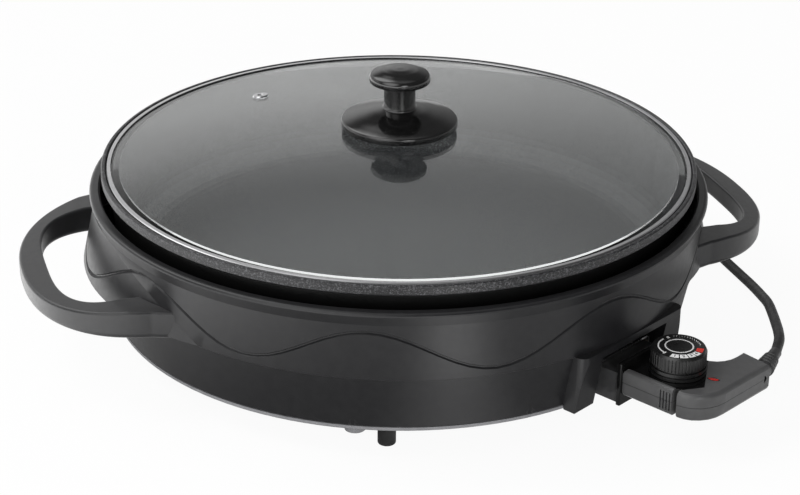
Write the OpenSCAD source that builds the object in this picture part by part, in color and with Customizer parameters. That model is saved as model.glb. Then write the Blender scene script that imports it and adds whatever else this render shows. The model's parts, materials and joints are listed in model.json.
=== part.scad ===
// Electric skillet: round cast pan in a plastic housing with two loop handles,
// a lift-off glass lid, and a plug-in controller with a probe, a dial and a lead.
// Millimetres. +Z is up, the floor is z = 0, the handles lie along X, the front is -Y.

/* [Pan] */
// Outer radius of the pan's rim
rim_r = 200; // [196:0.5:204]
// Height of the speckled outer face of the rim
rim_face_h = 7; // [6.5:0.5:9]
// Width of the flat land outside the lid's seat
rim_land = 2.8; // [2:0.2:4]
// Depth of the step that the lid sits in
seat_depth = 5.3; // [5:0.1:6]
// Width of the lid's seat
seat_w = 4.6; // [4:0.2:5.6]
// Depth from the rim to the cooking floor
pan_depth = 70.5; // [67:0.5:73]
// Wall of the pan
pan_wall = 3; // [2.5:0.1:4]
// Thickness of the cooking floor
pan_floor_t = 6; // [5:0.2:7]
// Radius of the flat cooking floor
pan_base_r = 168; // [160:1:172]
// Inside radius between floor and wall
pan_fillet = 20; // [14:1:22]

/* [Housing] */
// Height of the rim above the housing's lip
rim_rise = 14.5; // [12:0.5:18]
// Height of the housing from the base plate to its lip
housing_h = 86.8; // [80:0.2:92]
// Radius at the lower edge
housing_low_r = 195.5; // [194:0.5:198]
// How far the wall leans out from its lower edge to the crease
crease_out = 6.7; // [5:0.1:8]
// Height of the crease above the base plate
crease_h = 38.8; // [34:0.2:44]
// How far the wall above the crease stands proud
crease_step = 1; // [0.6:0.1:1.6]
// How far the wall leans out from the crease to the lip
shoulder_out = 4; // [3:0.1:5]
// How far the lip stands out from the wall
lip_out = 2.2; // [1.4:0.1:3]
// Width of the lip's flat band
lip_w = 7; // [6:0.5:8]
// Wall of the housing
wall = 3; // [2.5:0.1:3.4]
// Radius of the flares that carry the handles
flare_r = 165; // [155:1:175]
// How far the centre of a flare lies from the pan's axis
flare_x = 50; // [46:1:52]

/* [Wavy groove] */
// Number of waves round the housing
waves = 8; // [6:2:12]
// Height of the wave's middle above the base plate
wave_mid = 58.7; // [56:0.5:61]
// Half of the wave's height
wave_amp = 13.9; // [8:0.5:15]
// Width of the groove
groove_w = 2.2; // [1.6:0.2:3]
// Depth of the groove
groove_depth = 1.2; // [0.8:0.1:1.6]

/* [Handles] */
// Reach of each handle from the pan's axis
handle_reach = 257.5; // [250:0.5:266]
// Half of a handle's width at its root
handle_half = 98.5; // [92:0.5:104]
// Width of the bar at the middle of a handle
bar_w = 16.5; // [14:0.5:20]
// Half of the finger gap's width
gap_half = 72; // [66:0.5:74]
// Height of a handle's top face at its root above the base plate
handle_top = 56.3; // [54:0.2:60]
// Fall of the top face from root to nose
handle_fall = 7; // [4:0.5:8]
// Height of the bar at the nose
bar_h = 14; // [12:0.5:16]
// Diameter of the studs that hold a handle
stud_d = 10; // [8:0.5:11]

/* [Feet and base] */
// Height of the base plate above the floor
foot_h = 19.2; // [16:0.2:24]
// Diameter of a foot at its collar
foot_d = 13.2; // [11:0.2:16]
// Distance of the feet from the base plate's edge
foot_in = 19.5; // [17.5:0.5:23]
// Angle of the first foot
foot_angle = -109.3; // [-112:0.1:-107]
// Thickness of the base plate
base_t = 1.5; // [1.2:0.1:1.8]
// Height of the base plate's turned-up rim
base_rim_h = 2.6; // [2.2:0.1:2.8]
// Shadow gap between the base rim and the housing
base_gap = 0.8; // [0.5:0.1:1.2]
// Distance of the base screws from the base plate's edge
base_screw_in = 10.5; // [9.5:0.5:11.5]
// Angle of the first base screw
base_screw_angle = -115.3; // [-117:0.1:-114]
// Depth of the cups that the base screws sit in
cup_depth = 5; // [4:0.5:6]

/* [Element and socket] */
// Radius of the heating element's ring
element_r = 118; // [112:1:124]
// Diameter of the heating element's tube
element_d = 8; // [7:0.5:9]
// Height of the element's axis under the pan's underside
element_drop = 11; // [10:0.5:12]
// Distance between the two contact pins
pin_pitch = 38; // [36:1:40]
// Diameter of a contact pin
pin_d = 6; // [5:0.5:6.5]
// Direction of the socket round the pan
socket_angle = -60; // [-66:1:-56]
// Half of the width of the socket block
block_half = 52; // [50:0.5:54]
// Half of the width of the socket's mouth
mouth_half = 33; // [31:0.5:34]
// How far the block's face stands out from the wall's lower edge
block_out = 2.5; // [1.5:0.5:5]
// Distance of the pan's clamping screws from its axis
clamp_r = 140; // [136:1:142]
// Thickness of the reflector plate
reflector_t = 1; // [0.8:0.1:1.4]

/* [Lid] */
// Clearance round the lid's rim in its step
lid_gap = 0.7; // [0.4:0.1:1]
// Thickness of the steel rim
rim_t = 0.8; // [0.6:0.1:1]
// Width of the steel rim's top
rim_w = 3.2; // [2.8:0.1:4]
// Thickness of the glass
glass_t = 3.6; // [3.2:0.1:3.6]
// Rise of the glass
glass_rise = 22; // [16:0.5:28]
// Distance of the steam vent from the lid's axis
vent_r = 126; // [110:1:140]
// Direction of the steam vent
vent_angle = 124; // [100:1:150]

/* [Knob] */
// Radius of the disc under the knob
disc_r = 39.2; // [36:0.2:44]
// Height of the disc's outer edge
disc_edge = 5.5; // [4:0.1:7]
// Rise of the disc to the stem
disc_rise = 7; // [5:0.5:9]
// Thickness of the gasket under the disc
gasket_t = 1.3; // [1:0.1:2]
// Radius of the knob's stem
stem_r = 10.6; // [9:0.2:12]
// Height of the stem
stem_h = 18; // [15:0.5:22]
// Radius of the knob's cap
cap_r = 20.5; // [18:0.5:23]
// Height of the knob's cap
cap_h = 10; // [8:0.5:12]

/* [Controller] */
// Distance of the nose's face from the base plate's edge
nose_in = 5.5; // [3.5:0.5:6.5]
// Length of the nose in front of its flange
nose_len = 20; // [19:0.5:21]
// Half of the width of the body
body_half = 24; // [23:0.5:26]
// Height of the probe's axis above the controller's underside
probe_up = 6; // [5.5:0.5:6.5]
// Height of the controller's body
ctrl_h = 18.5; // [17.5:0.5:20]
// Height of the seam above the underside
seam_h = 9.5; // [8.5:0.5:10.5]
// Wall of the controller's shells
shell_wall = 2; // [1.6:0.1:2.4]
// Length of the probe in front of the nose
probe_len = 58; // [50:1:62]
// Diameter of the probe
probe_d = 6.2; // [5.6:0.2:6.6]
// Length of the body and grip behind the flange
grip_len = 62; // [58:0.5:66]
// How far the grip reaches to the side
grip_side = 46.2; // [42:0.2:50]
// Width of the grip's bar
grip_w = 22.5; // [20:0.5:25]

/* [Dial] */
// Distance of the dial's axis from the flange
dial_off = 24; // [23:0.5:25]
// Radius of the dial's top
dial_top_r = 16.4; // [15.6:0.1:16.8]
// Radius of the dial's knurl
dial_r = 17.5; // [17.2:0.1:18]
// Height of the dial above the deck
dial_h = 16.5; // [14:0.5:18]
// Number of ribs round the dial
knurls = 48; // [30:1:60]
// Diameter of the dial's spindle
spindle_d = 6; // [5:0.5:6]
// Radial running clearance of the spindle
spindle_gap = 0.05; // [0.03:0.01:0.08]

/* [Lead and plug] */
// Diameter of the lead
cord_d = 7; // [6:0.5:7.5]
// Radius of the coil's outermost turn
coil_r = 47; // [44:0.5:50]
// Step between the coil's turns
coil_pitch = 7.6; // [7.6:0.1:8.4]
// Radius of the plug's body
plug_r = 18.5; // [17:0.5:20]
// Thickness of the tie round the coil
tie_t = 0.8; // [0.6:0.1:1]

/* [Hidden] */

$fn = 72;
// Small overlap that lets a cut run past a face
cut = 1;
// Clearance of a plastic part in its seat, and of what lies on a seat
fit = 0.1;
seat_air = 0.1;

// Heights above the floor
base_top = foot_h + base_t;
wall_low = foot_h + base_rim_h + base_gap;
lip_z = foot_h + housing_h;
rim_z = lip_z + rim_rise;
crease_z = foot_h + crease_h;
seat_z = rim_z - seat_depth;
floor_z = rim_z - pan_depth;
under_z = floor_z - pan_floor_t;
element_z = under_z - element_drop;
element_ridge_z = element_z - element_d / 2 - 1;
reflector_z = element_ridge_z - 1 - reflector_t;

// Radii of the pan and the lid's seat
seat_r = rim_r - rim_land;
mouth_r = seat_r - seat_w;
lid_r = seat_r - lid_gap;

// Radii of the housing, worked out from its lower edge
crease_r = housing_low_r + crease_out;
shoulder_r = crease_r + shoulder_out;
lip_r = shoulder_r + lip_out;
block_reach = housing_low_r + block_out;
foot_circle_r = housing_low_r - foot_in;
base_screw_r = housing_low_r - base_screw_in;
nose_start = housing_low_r - nose_in;
flange_start = nose_start + nose_len;

// The lip's inner edge, the lip's rounding and the slope of the flares
lip_round = 2.5;
lip_in_r = lip_r - lip_w;
lip_skirt = 5;
shoulder_z = lip_z - 9;
crease_rise = 0.9;
flare_low_z = crease_z + 1;
flare_fall = 8.5;
wall_slope = (shoulder_r - crease_r - crease_step) / (shoulder_z - crease_z);

// Screws and washers
screw_r = 2;
screw_head_r = 3.6;
screw_head_h = 2.6;
washer_t = 1;

// The controller, in its own frame: X out along the socket, Y to the grip's side
flange_t = 3;
body_x = flange_start + flange_t;
dial_x = body_x + dial_off;
grip_x = body_x + grip_len;
ctrl_low = element_z - probe_up;
ctrl_top = ctrl_low + ctrl_h;
seam_z = ctrl_low + seam_h;
nose_low = element_z - 12;
nose_top = element_z + 8.5;
deck_t = 0.8;
deck_sink = 0.4;
deck_z = ctrl_top - deck_sink;
probe_tip = nose_start - probe_len;
pin_tip = nose_start + 14;

// The rounded nose of the grip and the hollow behind it are quarter ellipses
grip_nose = [20, 23.3];
grip_hollow = [12.5, 16];
grip_line = concat(
  [[body_x, -body_half]],
  [for (a = [-90:15:0])
    [grip_x - 1 - grip_nose.x + grip_nose.x * cos(a), grip_nose.y - body_half + grip_nose.y * sin(a)]],
  [[grip_x, grip_side], [grip_x - grip_w, grip_side + 3]],
  [for (a = [0:-18:-90])
    [grip_x - grip_w - grip_hollow.x + grip_hollow.x * cos(a),
     body_half + grip_hollow.y + grip_hollow.y * sin(a)]],
  [[body_x, body_half]]
);

// The pan's axis lies behind the middle, so that housing and grip reach equally far
front_reach = max([for (p = grip_line) -p.x * sin(socket_angle) - p.y * cos(socket_angle)]);
pan_y = (front_reach - lip_r) / 2;

// The strain relief leaves the grip's end, turned a little towards the pan
relief_tilt = 16;
relief_base = [grip_x - 8, grip_side + 4.8, seam_z];
relief_dir = [-sin(relief_tilt), cos(relief_tilt), 0];
relief_len = 26;
relief_root_r = 5.4;

// The lead lies on the floor, lifted by the tie under its coil
cord_r = cord_d / 2;
coil_z = cord_r + tie_t + 0.1;
coil_x = 199;
coil_y = 236;
coil_turns = 3.25;
coil_steps = 24;
tail_len = 37;

// Route of the lead's free stretch, from the strain relief to the coil
cord_route = concat(
  [to_world(relief_base + relief_len * relief_dir)],
  [
    [207, -153.5, 35], [214.8, -137.5, 32], [222, -120.5, 28.5], [231.5, -97, 23.5],
    [240.5, -73, 18.5], [247, -50, 13], [252, -27, 8.5], [254.5, -5, 5.8],
    [255.5, 20, coil_z], [255.5, 50, coil_z], [254.5, 80, coil_z], [253, 110, coil_z],
    [251, 140, coil_z], [249, 170, coil_z], [247, 200, coil_z]
  ],
  [[coil_x + coil_r, coil_y - cord_d, coil_z]]
);
coil_end = [coil_x - cord_d, coil_y + coil_r, coil_z + coil_pitch];
tail_route = [
  coil_end,
  coil_end + [-9, 0, 0.7],
  coil_end + [-19, 0, (plug_r - coil_end.z) / 2],
  coil_end + [9 - tail_len, 0, plug_r - coil_end.z - 0.7],
  [coil_end.x - tail_len, coil_end.y, plug_r]
];

function to_world(p) = [
  p.x * cos(socket_angle) - p.y * sin(socket_angle),
  p.x * sin(socket_angle) + p.y * cos(socket_angle) + pan_y,
  p.z
];
function unit(v) = v / norm(v);
function arc(c, r, a0, a1, n) = [
  for (i = [0:n]) let (a = a0 + (a1 - a0) * i / n) c + r * [cos(a), sin(a)]
];

// A closed outline moved inwards by d, each corner along its own bisector
function inset(p, d) = [
  for (i = [0:len(p) - 1])
    let (
      u = unit(p[i] - p[(i + len(p) - 1) % len(p)]),
      v = unit(p[(i + 1) % len(p)] - p[i]),
      m = unit([-u.y - v.y, u.x + v.x])
    )
    p[i] + m * d / (m * [-u.y, u.x])
];

// Faces of a skin over rings of n points each; the ends are closed with one face each
function skin_faces(rings, n) = concat(
  [[for (j = [0:n - 1]) n - 1 - j]],
  [for (i = [0:rings - 2]) for (j = [0:n - 1])
    [i * n + j, i * n + (j + 1) % n, (i + 1) * n + (j + 1) % n]],
  [for (i = [0:rings - 2]) for (j = [0:n - 1])
    [i * n + j, (i + 1) * n + (j + 1) % n, (i + 1) * n + j]],
  [[for (j = [0:n - 1]) (rings - 1) * n + j]]
);

// A ring of points across a path: side lies level, up stands square to side and path
function ring_points(p, dir, r, sides) =
  let (side = unit(cross(dir, [0, 0, 1])), up = cross(side, dir))
  [for (j = [0:sides - 1]) let (a = 360 * (j + 0.5) / sides) p + r * (side * cos(a) + up * sin(a))];

// Points between p[i] and p[i + 1] on a smooth curve through all of them
function between(p, i, t) =
  let (
    a = p[max(i - 1, 0)], b = p[i], c = p[i + 1], d = p[min(i + 2, len(p) - 1)],
    m0 = (c - a) / (i == 0 ? 1 : 2), m1 = (d - b) / (i + 2 > len(p) - 1 ? 1 : 2)
  )
  b * (1 + 2 * t) * (1 - t) * (1 - t) + m0 * t * (1 - t) * (1 - t)
  + c * t * t * (3 - 2 * t) + m1 * t * t * (t - 1);
function smooth(p, n) = concat(
  [for (i = [0:len(p) - 2]) for (k = [0:n - 1]) between(p, i, k / n)],
  [p[len(p) - 1]]
);

// The coil winds in on the floor, climbs a layer at its reversal and winds out again
function coil_radius(u) = coil_r - coil_pitch * (u < coil_turns / 2 ? u : coil_turns - u);
function coil_height(u) = coil_z + coil_pitch * min(max((u - coil_turns / 2) * 2 + 0.5, 0), 1);
function coil_point(u) = [
  coil_x + coil_radius(u) * cos(360 * u),
  coil_y + coil_radius(u) * sin(360 * u),
  coil_height(u)
];
coil_path = concat(
  [[coil_x + coil_r, coil_y - cord_d, coil_z]],
  [for (i = [0:coil_turns * coil_steps]) coil_point(i / coil_steps)],
  [coil_end]
);
coil_gap = min([
  for (i = [0:len(coil_path) - 1]) for (j = [i + coil_steps / 2:len(coil_path) - 1])
    norm(coil_path[i] - coil_path[j])
]) - cord_d;
function total(v) = v * [for (x = v) 1];
function path_length(p) = total([for (i = [1:len(p) - 1]) norm(p[i] - p[i - 1])]);
echo(coil_gap = coil_gap, pan_y = pan_y);
echo(cord = path_length(smooth(cord_route, 4)), coil = path_length(coil_path));
echo(tail = path_length(smooth(tail_route, 4)));

// A tube along a path, square to its ends where a direction is given there
module tube(path, r, sides, first, last) {
  n = len(path);
  rings = [
    for (i = [0:n - 1])
      let (
        ahead = i == n - 1 ? last : unit(path[i + 1] - path[i]),
        behind = i == 0 ? first : unit(path[i] - path[i - 1]),
        dir = i == 0 ? first : i == n - 1 ? last : unit(ahead + behind)
      )
      each ring_points(path[i], dir, r, sides)
  ];
  polyhedron(rings, skin_faces(n, sides), convexity = 10);
}

// Frames
module at_pan() translate([0, pan_y, 0]) children();
module at_socket() at_pan() rotate([0, 0, socket_angle]) children();
module round_pan(angles, r) for (a = angles) rotate([0, 0, a]) translate([r, 0, 0]) children();
module quarter_turns(first, r) round_pan([for (i = [0:3]) first + 90 * i], r) children();
module tube_x(x0, x1, r, y, z) translate([x0, y, z]) rotate([0, 90, 0]) cylinder(h = x1 - x0, r = r);

// A skin over an outline, from the top down: each level gives a height and how far the outline is drawn in
module loft(line, levels) {
  rings = [for (l = levels) each [for (p = inset(line, l[1])) [p.x, p.y, l[0]]]];
  polyhedron(rings, skin_faces(len(levels), len(line)), convexity = 10);
}
module slab(line, z0, z1) translate([0, 0, z0]) linear_extrude(z1 - z0) polygon(line);

// Housing
wall_line = concat(
  [[housing_low_r, wall_low], [crease_r, crease_z], [crease_r + crease_step, crease_z + crease_rise],
   [shoulder_r, shoulder_z]],
  arc([lip_r - lip_round, lip_z - lip_round], lip_round, 0, 90, 4),
  [[lip_in_r + 1.2, lip_z], [lip_in_r, lip_z - 1.2]]
);
hollow_r = crease_r + crease_step - wall;
rib_angles = [for (i = [0:7]) socket_angle + 22.5 + 45 * i];
rib_in_r = 152;
rib_t = 2.4;
post_r = 6.5;
post_top = 46;
block_corner = 6;
block_root = nose_start - 40;
mouth_run = 40;
block_lift = 0.3;
mouth_top = crease_z - 4;
tunnel_x = nose_start;
stud_y = handle_half - 14.5;
stud_z = crease_z + 8;
stud_r = stud_d / 2;
stud_washer_r = stud_r + 1.8;
stud_seat_x = sqrt(pow(hollow_r, 2) - pow(stud_y + stud_washer_r, 2)) - seat_air;
stud_boss_r = stud_r + 3;
stud_boss_len = 16;
stud_reach = 26;
stud_screw = 15;

module flares(shrink) {
  low = flare_low_z + shrink;
  for (s = [-1, 1])
    translate([s * flare_x, 0, low])
      cylinder(h = shoulder_z - low, r1 = flare_r - shrink, r2 = flare_r - flare_fall - shrink);
}
// The socket's block: its face follows the wall's slope, and its corners are round
module block_shape(shrink, low) {
  slope = crease_r - housing_low_r;
  face = block_reach - shrink;
  half = block_half - shrink;
  top = crease_z + crease_rise - shrink;
  intersection() {
    rotate([90, 0, 0]) linear_extrude(2 * half, center = true)
      polygon([[block_root, low], [face, low], [face + slope, top], [block_root, top]]);
    translate([0, 0, low]) linear_extrude(crease_h + 2)
      offset(r = block_corner) square([2 * face, 2 * half - 2 * block_corner], center = true);
  }
}
module housing_solid() {
  rotate_extrude() polygon(concat([[0, wall_low]], wall_line, [[0, lip_z - 1.2]]));
  flares(0);
}
module housing_hollow() {
  rotate_extrude() polygon([
    [0, wall_low - cut], [housing_low_r - wall, wall_low - cut], [housing_low_r - wall, wall_low],
    [crease_r - wall, crease_z], [hollow_r, crease_z + crease_rise],
    [shoulder_r - wall, shoulder_z - 2], [lip_in_r, shoulder_z + 2], [lip_in_r, lip_z + cut], [0, lip_z + cut]
  ]);
  flares(wall);
}

// Radius of the wall's face at an angle and a height, flares included
function wall_r(a, z) = max(
  crease_r + crease_step + wall_slope * (z - crease_z),
  let (r = flare_r - flare_fall * (z - flare_low_z) / (shoulder_z - flare_low_z))
  flare_x * abs(cos(a)) + sqrt(r * r - pow(flare_x * sin(a), 2))
);
function wave_z(a) = foot_h + wave_mid + wave_amp * cos(waves * (a + 90) + 180);
wave_steps = waves * 18;
// The groove's cutter: a wedge that follows the wave all round the wall
module wavy_groove() {
  points = [
    for (i = [0:wave_steps - 1])
      let (a = 360 * i / wave_steps, z = wave_z(a), r = wall_r(a, z), w = groove_w / 2)
      each [
        for (q = [[-groove_depth, -w / 3], [1.5, -w - 1.5], [1.5, w + 1.5], [-groove_depth, w / 3]])
          [(r + q.x) * cos(a), (r + q.x) * sin(a), z + q.y]
      ]
  ];
  faces = [
    for (i = [0:wave_steps - 1]) for (j = [0:3])
      let (k = (i + 1) % wave_steps, l = (j + 1) % 4)
      each [[i * 4 + j, k * 4 + l, k * 4 + j], [i * 4 + j, i * 4 + l, k * 4 + l]]
  ];
  polyhedron(points, faces, convexity = 20);
}
// Places of the base's screws, and of the handle's studs
base_screw_len = 18;
module cup_places() quarter_turns(base_screw_angle, base_screw_r) children();
module stud_places(sides) for (s = sides) rotate([0, 0, s > 0 ? 0 : 180]) for (t = [-1, 1])
  translate([0, t * stud_y, stud_z]) rotate([0, 90, 0]) children();

module housing() color([0.19, 0.19, 0.2]) at_pan() difference() {
  union() {
    difference() {
      union() {
        housing_solid();
        rotate([0, 0, socket_angle]) block_shape(0, foot_h + block_lift);
      }
      housing_hollow();
      rotate([0, 0, socket_angle]) block_shape(wall, foot_h - cut);
      translate([0, 0, foot_h - cut]) cylinder(h = wall_low - foot_h + cut, r = housing_low_r + 0.8);
    }
    intersection() {
      housing_solid();
      union() {
        round_pan(rib_angles, rib_in_r)
          translate([0, -rib_t / 2, wall_low]) cube([lip_r - rib_in_r, rib_t, under_z - wall_low]);
        cup_places() translate([0, -rib_t / 2, wall_low])
          cube([lip_r - base_screw_r, rib_t, post_top - wall_low]);
        stud_places([-1, 1])
          translate([0, 0, stud_seat_x]) cylinder(h = stud_boss_len, r = stud_boss_r);
      }
    }
    cup_places() translate([0, 0, base_top]) cylinder(h = post_top - base_top, r = post_r);
    rotate([0, 0, socket_angle]) intersection() {
      block_shape(0, foot_h + block_lift);
      for (t = [-1, 1])
        translate([tunnel_x, t * (mouth_half + wall / 2) - wall / 2, wall_low])
          cube([20, wall, mouth_top - wall_low]);
    }
  }
  wavy_groove();
  rotate([0, 0, socket_angle]) translate([tunnel_x - 4, -mouth_half, foot_h - cut])
    cube([mouth_run, 2 * mouth_half, mouth_top - foot_h + cut]);
  stud_places([-1, 1]) translate([0, 0, stud_seat_x - cut]) cylinder(h = 60, r = stud_r + fit);
  cup_places() translate([0, 0, base_top - cut]) cylinder(h = base_screw_len, r = screw_r);
}

// Handles: a bar swept between two curves, the outer one rounder than the gap's
handle_steps = 24;
outer_power = 2.3;
gap_power = 3;
outer_centre = 170;
gap_centre = 195;
bar_corner = 4.5;
function curve(c, a, b, power, angle) = [
  c + a * pow(abs(cos(angle)), 2 / power),
  b * sign(sin(angle)) * pow(abs(sin(angle)), 2 / power)
];
function bar_outer(t) = curve(outer_centre, handle_reach - outer_centre, handle_half, outer_power, 80 * t);
function bar_inner(t) = curve(gap_centre, handle_reach - bar_w - gap_centre, gap_half, gap_power, 90 * t);
bar_fall_x = lip_r - 3.4;
function bar_along(x) = (x - bar_fall_x) / (handle_reach - bar_fall_x);
function bar_top(x) = foot_h + handle_top - handle_fall * max(0, bar_along(x));
function bar_low(x) = let (nose = foot_h + handle_top - handle_fall - bar_h)
  nose + 2 * max(0, min(1, 1 - bar_along(x)));
// Section of the bar between two points of the plan, with rounded corners
function bar_section(o, i, s) =
  let (w = norm(o - i), d = (o - i) / w, c = min(bar_corner, w / 2 - 0.5))
  [
    for (q = [[0, 0, 180], [1, 0, 270], [1, 1, 0], [0, 1, 90]]) for (k = [0:2])
      let (
        a = q[2] + 45 * k,
        along = (q[0] == 0 ? c : w - c) + c * cos(a),
        p = i + d * along,
        z = q[1] == 0 ? bar_low(p.x) + c + c * sin(a) : bar_top(p.x) - c + c * sin(a)
      )
      [s * p.x, s * p.y, z]
  ];
// The bar's ends run on into the wall, the outer line leaning towards the wall's own direction
bar_inside = 16;
bar_lean = 6;
function bar_end(t) = [-bar_inside, t * bar_lean];
module bar(s) {
  ts = [for (k = [0:handle_steps]) 2 * k / handle_steps - 1];
  rings = concat(
    bar_section(bar_outer(-1) + bar_end(-1), bar_inner(-1) + bar_end(0), s),
    [for (t = ts) each bar_section(bar_outer(t), bar_inner(t), s)],
    bar_section(bar_outer(1) + bar_end(1), bar_inner(1) + bar_end(0), s)
  );
  polyhedron(rings, skin_faces(handle_steps + 3, 12), convexity = 6);
}
module handle(s) color([0.22, 0.22, 0.23]) at_pan() {
  difference() {
    union() {
      difference() {
        bar(s);
        housing_solid();
      }
      stud_places([s]) translate([0, 0, stud_seat_x + 0.3]) cylinder(h = stud_reach, r = stud_r);
    }
    stud_places([s]) translate([0, 0, stud_seat_x - cut]) cylinder(h = stud_screw + cut, r = screw_r);
  }
}
module left_handle() handle(-1);
module right_handle() handle(1);

// A screw that points along +Z, its head below z = 0
module screw(length) {
  cylinder(h = length, r = screw_r);
  translate([0, 0, -screw_head_h]) cylinder(h = screw_head_h, r = screw_head_r);
}
module ring(r0, r1, h) difference() {
  cylinder(h = h, r = r1);
  translate([0, 0, -cut]) cylinder(h = h + 2 * cut, r = r0);
}
module handle_screws() color("silver") at_pan()
  stud_places([-1, 1]) translate([0, 0, stud_seat_x - washer_t]) screw(stud_screw);
module handle_washers() color("gray") at_pan()
  stud_places([-1, 1]) translate([0, 0, stud_seat_x - washer_t]) ring(screw_r, stud_washer_r, washer_t);

// Base plate with its turned-up rim, the cups for its screws and the socket's notch
notch_x = nose_start - 4;
cup_r = 8;
module clamp_places() quarter_turns(socket_angle + 45, clamp_r) children();
module foot_places() quarter_turns(foot_angle, foot_circle_r) children();
module base_plate() color([0.32, 0.32, 0.33]) at_pan() difference() {
  union() {
    rotate_extrude() polygon([
      [0, foot_h], [housing_low_r - 0.8, foot_h], [housing_low_r, foot_h + 0.8],
      [housing_low_r, foot_h + base_rim_h], [housing_low_r - wall + 0.3, foot_h + base_rim_h],
      [housing_low_r - wall + 0.3, base_top], [0, base_top]
    ]);
    cup_places() translate([0, 0, foot_h - cup_depth]) cylinder(h = cup_depth, r1 = cup_r - 1.5, r2 = cup_r);
  }
  cup_places() {
    translate([0, 0, foot_h - cup_depth - cut]) cylinder(h = cup_depth - 1 + cut, r = cup_r - 3);
    translate([0, 0, foot_h - cup_depth - cut]) cylinder(h = cup_depth + base_t + 2 * cut, r = screw_r);
  }
  clamp_places() translate([0, 0, foot_h - cut]) cylinder(h = base_t + 2 * cut, r = screw_r);
  foot_places() translate([0, 0, foot_h - cut]) cylinder(h = base_t + 2 * cut, r = screw_r);
  rotate([0, 0, socket_angle])
    translate([notch_x, -mouth_half, foot_h - cut]) cube([20, 2 * mouth_half, base_rim_h + 2 * cut]);
}
module base_screws() color("silver") at_pan()
  cup_places() translate([0, 0, foot_h - 1]) screw(base_screw_len);

// Feet
foot_low_d = foot_d - 1.6;
foot_collar_h = 4.4;
foot_round = 1;
foot_recess_r = 3.8;
foot_head_z = 9;
module feet() color([0.1, 0.1, 0.1]) at_pan() foot_places() rotate_extrude() polygon(concat(
  [[screw_r, foot_h], [screw_r, foot_head_z], [foot_recess_r, foot_head_z], [foot_recess_r, 0]],
  arc([foot_low_d / 2 - foot_round, foot_round], foot_round, -90, 0, 4),
  [[foot_low_d / 2, foot_h - foot_collar_h], [foot_d / 2, foot_h - foot_collar_h], [foot_d / 2, foot_h]]
));
module foot_screws() color("silver") at_pan()
  foot_places() translate([0, 0, foot_head_z]) screw(foot_h - foot_head_z + base_t + 1.5);

// Pan: its section follows the floor, a round fillet and a slightly flared wall
wall_lean = 8;
clamp_boss_r = 7;
ridge_half = 8;
ridge_notch = 50;
probe_boss_r = 6.6;
probe_boss_x = 100;
probe_boss_end = nose_start - 14;
probe_gap = 0.15;
module pan_section() difference() {
  polygon(concat(
    [[0, floor_z]],
    arc([pan_base_r, floor_z + pan_fillet], pan_fillet, -90, -wall_lean, 6),
    [[mouth_r - 2, seat_z - 1.5], [mouth_r, seat_z], [seat_r, seat_z], [seat_r, rim_z - 0.6],
     [seat_r + 0.6, rim_z], [rim_r - 0.8, rim_z], [rim_r, rim_z - 0.8], [rim_r, rim_z - rim_face_h + 1],
     [rim_r - 1, rim_z - rim_face_h], [mouth_r + pan_wall, rim_z - rim_face_h - 0.8]],
    arc([pan_base_r, floor_z + pan_fillet], pan_fillet + pan_wall, -wall_lean, -90, 6),
    [[pan_base_r - 3, under_z], [element_r + ridge_half + 2, under_z],
     [element_r + ridge_half, element_ridge_z], [element_r - ridge_half, element_ridge_z],
     [element_r - ridge_half - 2, under_z], [0, under_z]]
  ));
  translate([element_r, element_z]) circle(d = element_d);
  translate([element_r - element_d / 2, element_ridge_z - cut])
    square([element_d, element_z - element_ridge_z + cut]);
}
module pan() color([0.13, 0.13, 0.14]) at_pan() difference() {
  union() {
    difference() {
      rotate_extrude() pan_section();
      rotate([0, 0, socket_angle]) translate([element_r - 20, -ridge_notch, element_ridge_z - cut])
        cube([40, 2 * ridge_notch, under_z - element_ridge_z + cut]);
    }
    rotate([0, 0, socket_angle]) {
      tube_x(probe_boss_x, probe_boss_end, probe_boss_r, 0, element_z);
      translate([probe_boss_x, -probe_boss_r, element_z])
        cube([probe_boss_end - probe_boss_x, 2 * probe_boss_r, under_z - element_z]);
    }
    clamp_places() translate([0, 0, reflector_z + reflector_t])
      cylinder(h = under_z - reflector_z - reflector_t + cut, r = clamp_boss_r);
  }
  rotate([0, 0, socket_angle])
    tube_x(probe_tip - 6, probe_boss_end + cut, probe_d / 2 + probe_gap, 0, element_z);
  clamp_places() translate([0, 0, reflector_z - cut]) cylinder(h = under_z - reflector_z - 2, r = screw_r);
}

// Heating element: a ring open at the socket, two bends and two straight ends, each a little thinner
element_bend = 16;
pin_y = pin_pitch / 2;
bend_angle = asin((pin_y + element_bend) / (element_r + element_bend));
bend_x = (element_r + element_bend) * cos(bend_angle);
element_end = probe_boss_end - 6;
bush_r = 5.4;
bush_end = probe_boss_end + 3;
element_draw = 0.1;
module element_arc(start, sweep, r, d)
  rotate([0, 0, start]) rotate_extrude(angle = sweep) translate([r, 0]) circle(d = d);
module heating_element() color([0.45, 0.42, 0.4]) at_socket() translate([0, 0, element_z]) {
  element_arc(bend_angle, 360 - 2 * bend_angle, element_r, element_d);
  for (t = [-1, 1]) {
    translate([bend_x, t * (pin_y + element_bend), 0])
      element_arc(t > 0 ? 180 + bend_angle : 90, 90 - bend_angle, element_bend, element_d - element_draw);
    tube_x(bend_x, element_end, element_d / 2 - element_draw, t * pin_y, 0);
  }
}
module contact_pins() color([0.75, 0.73, 0.7]) at_socket() for (t = [-1, 1]) {
  tube_x(element_end, pin_tip - 1.5, pin_d / 2, t * pin_y, element_z);
  translate([pin_tip - 1.5, t * pin_y, element_z]) rotate([0, 90, 0])
    cylinder(h = 1.5, r1 = pin_d / 2, r2 = pin_d / 2 - 1);
}
module pin_bushes() color([0.92, 0.9, 0.85]) at_socket() for (t = [-1, 1])
  translate([element_end, t * pin_y, element_z]) rotate([0, 90, 0])
    ring(pin_d / 2, bush_r, bush_end - element_end);

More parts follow.
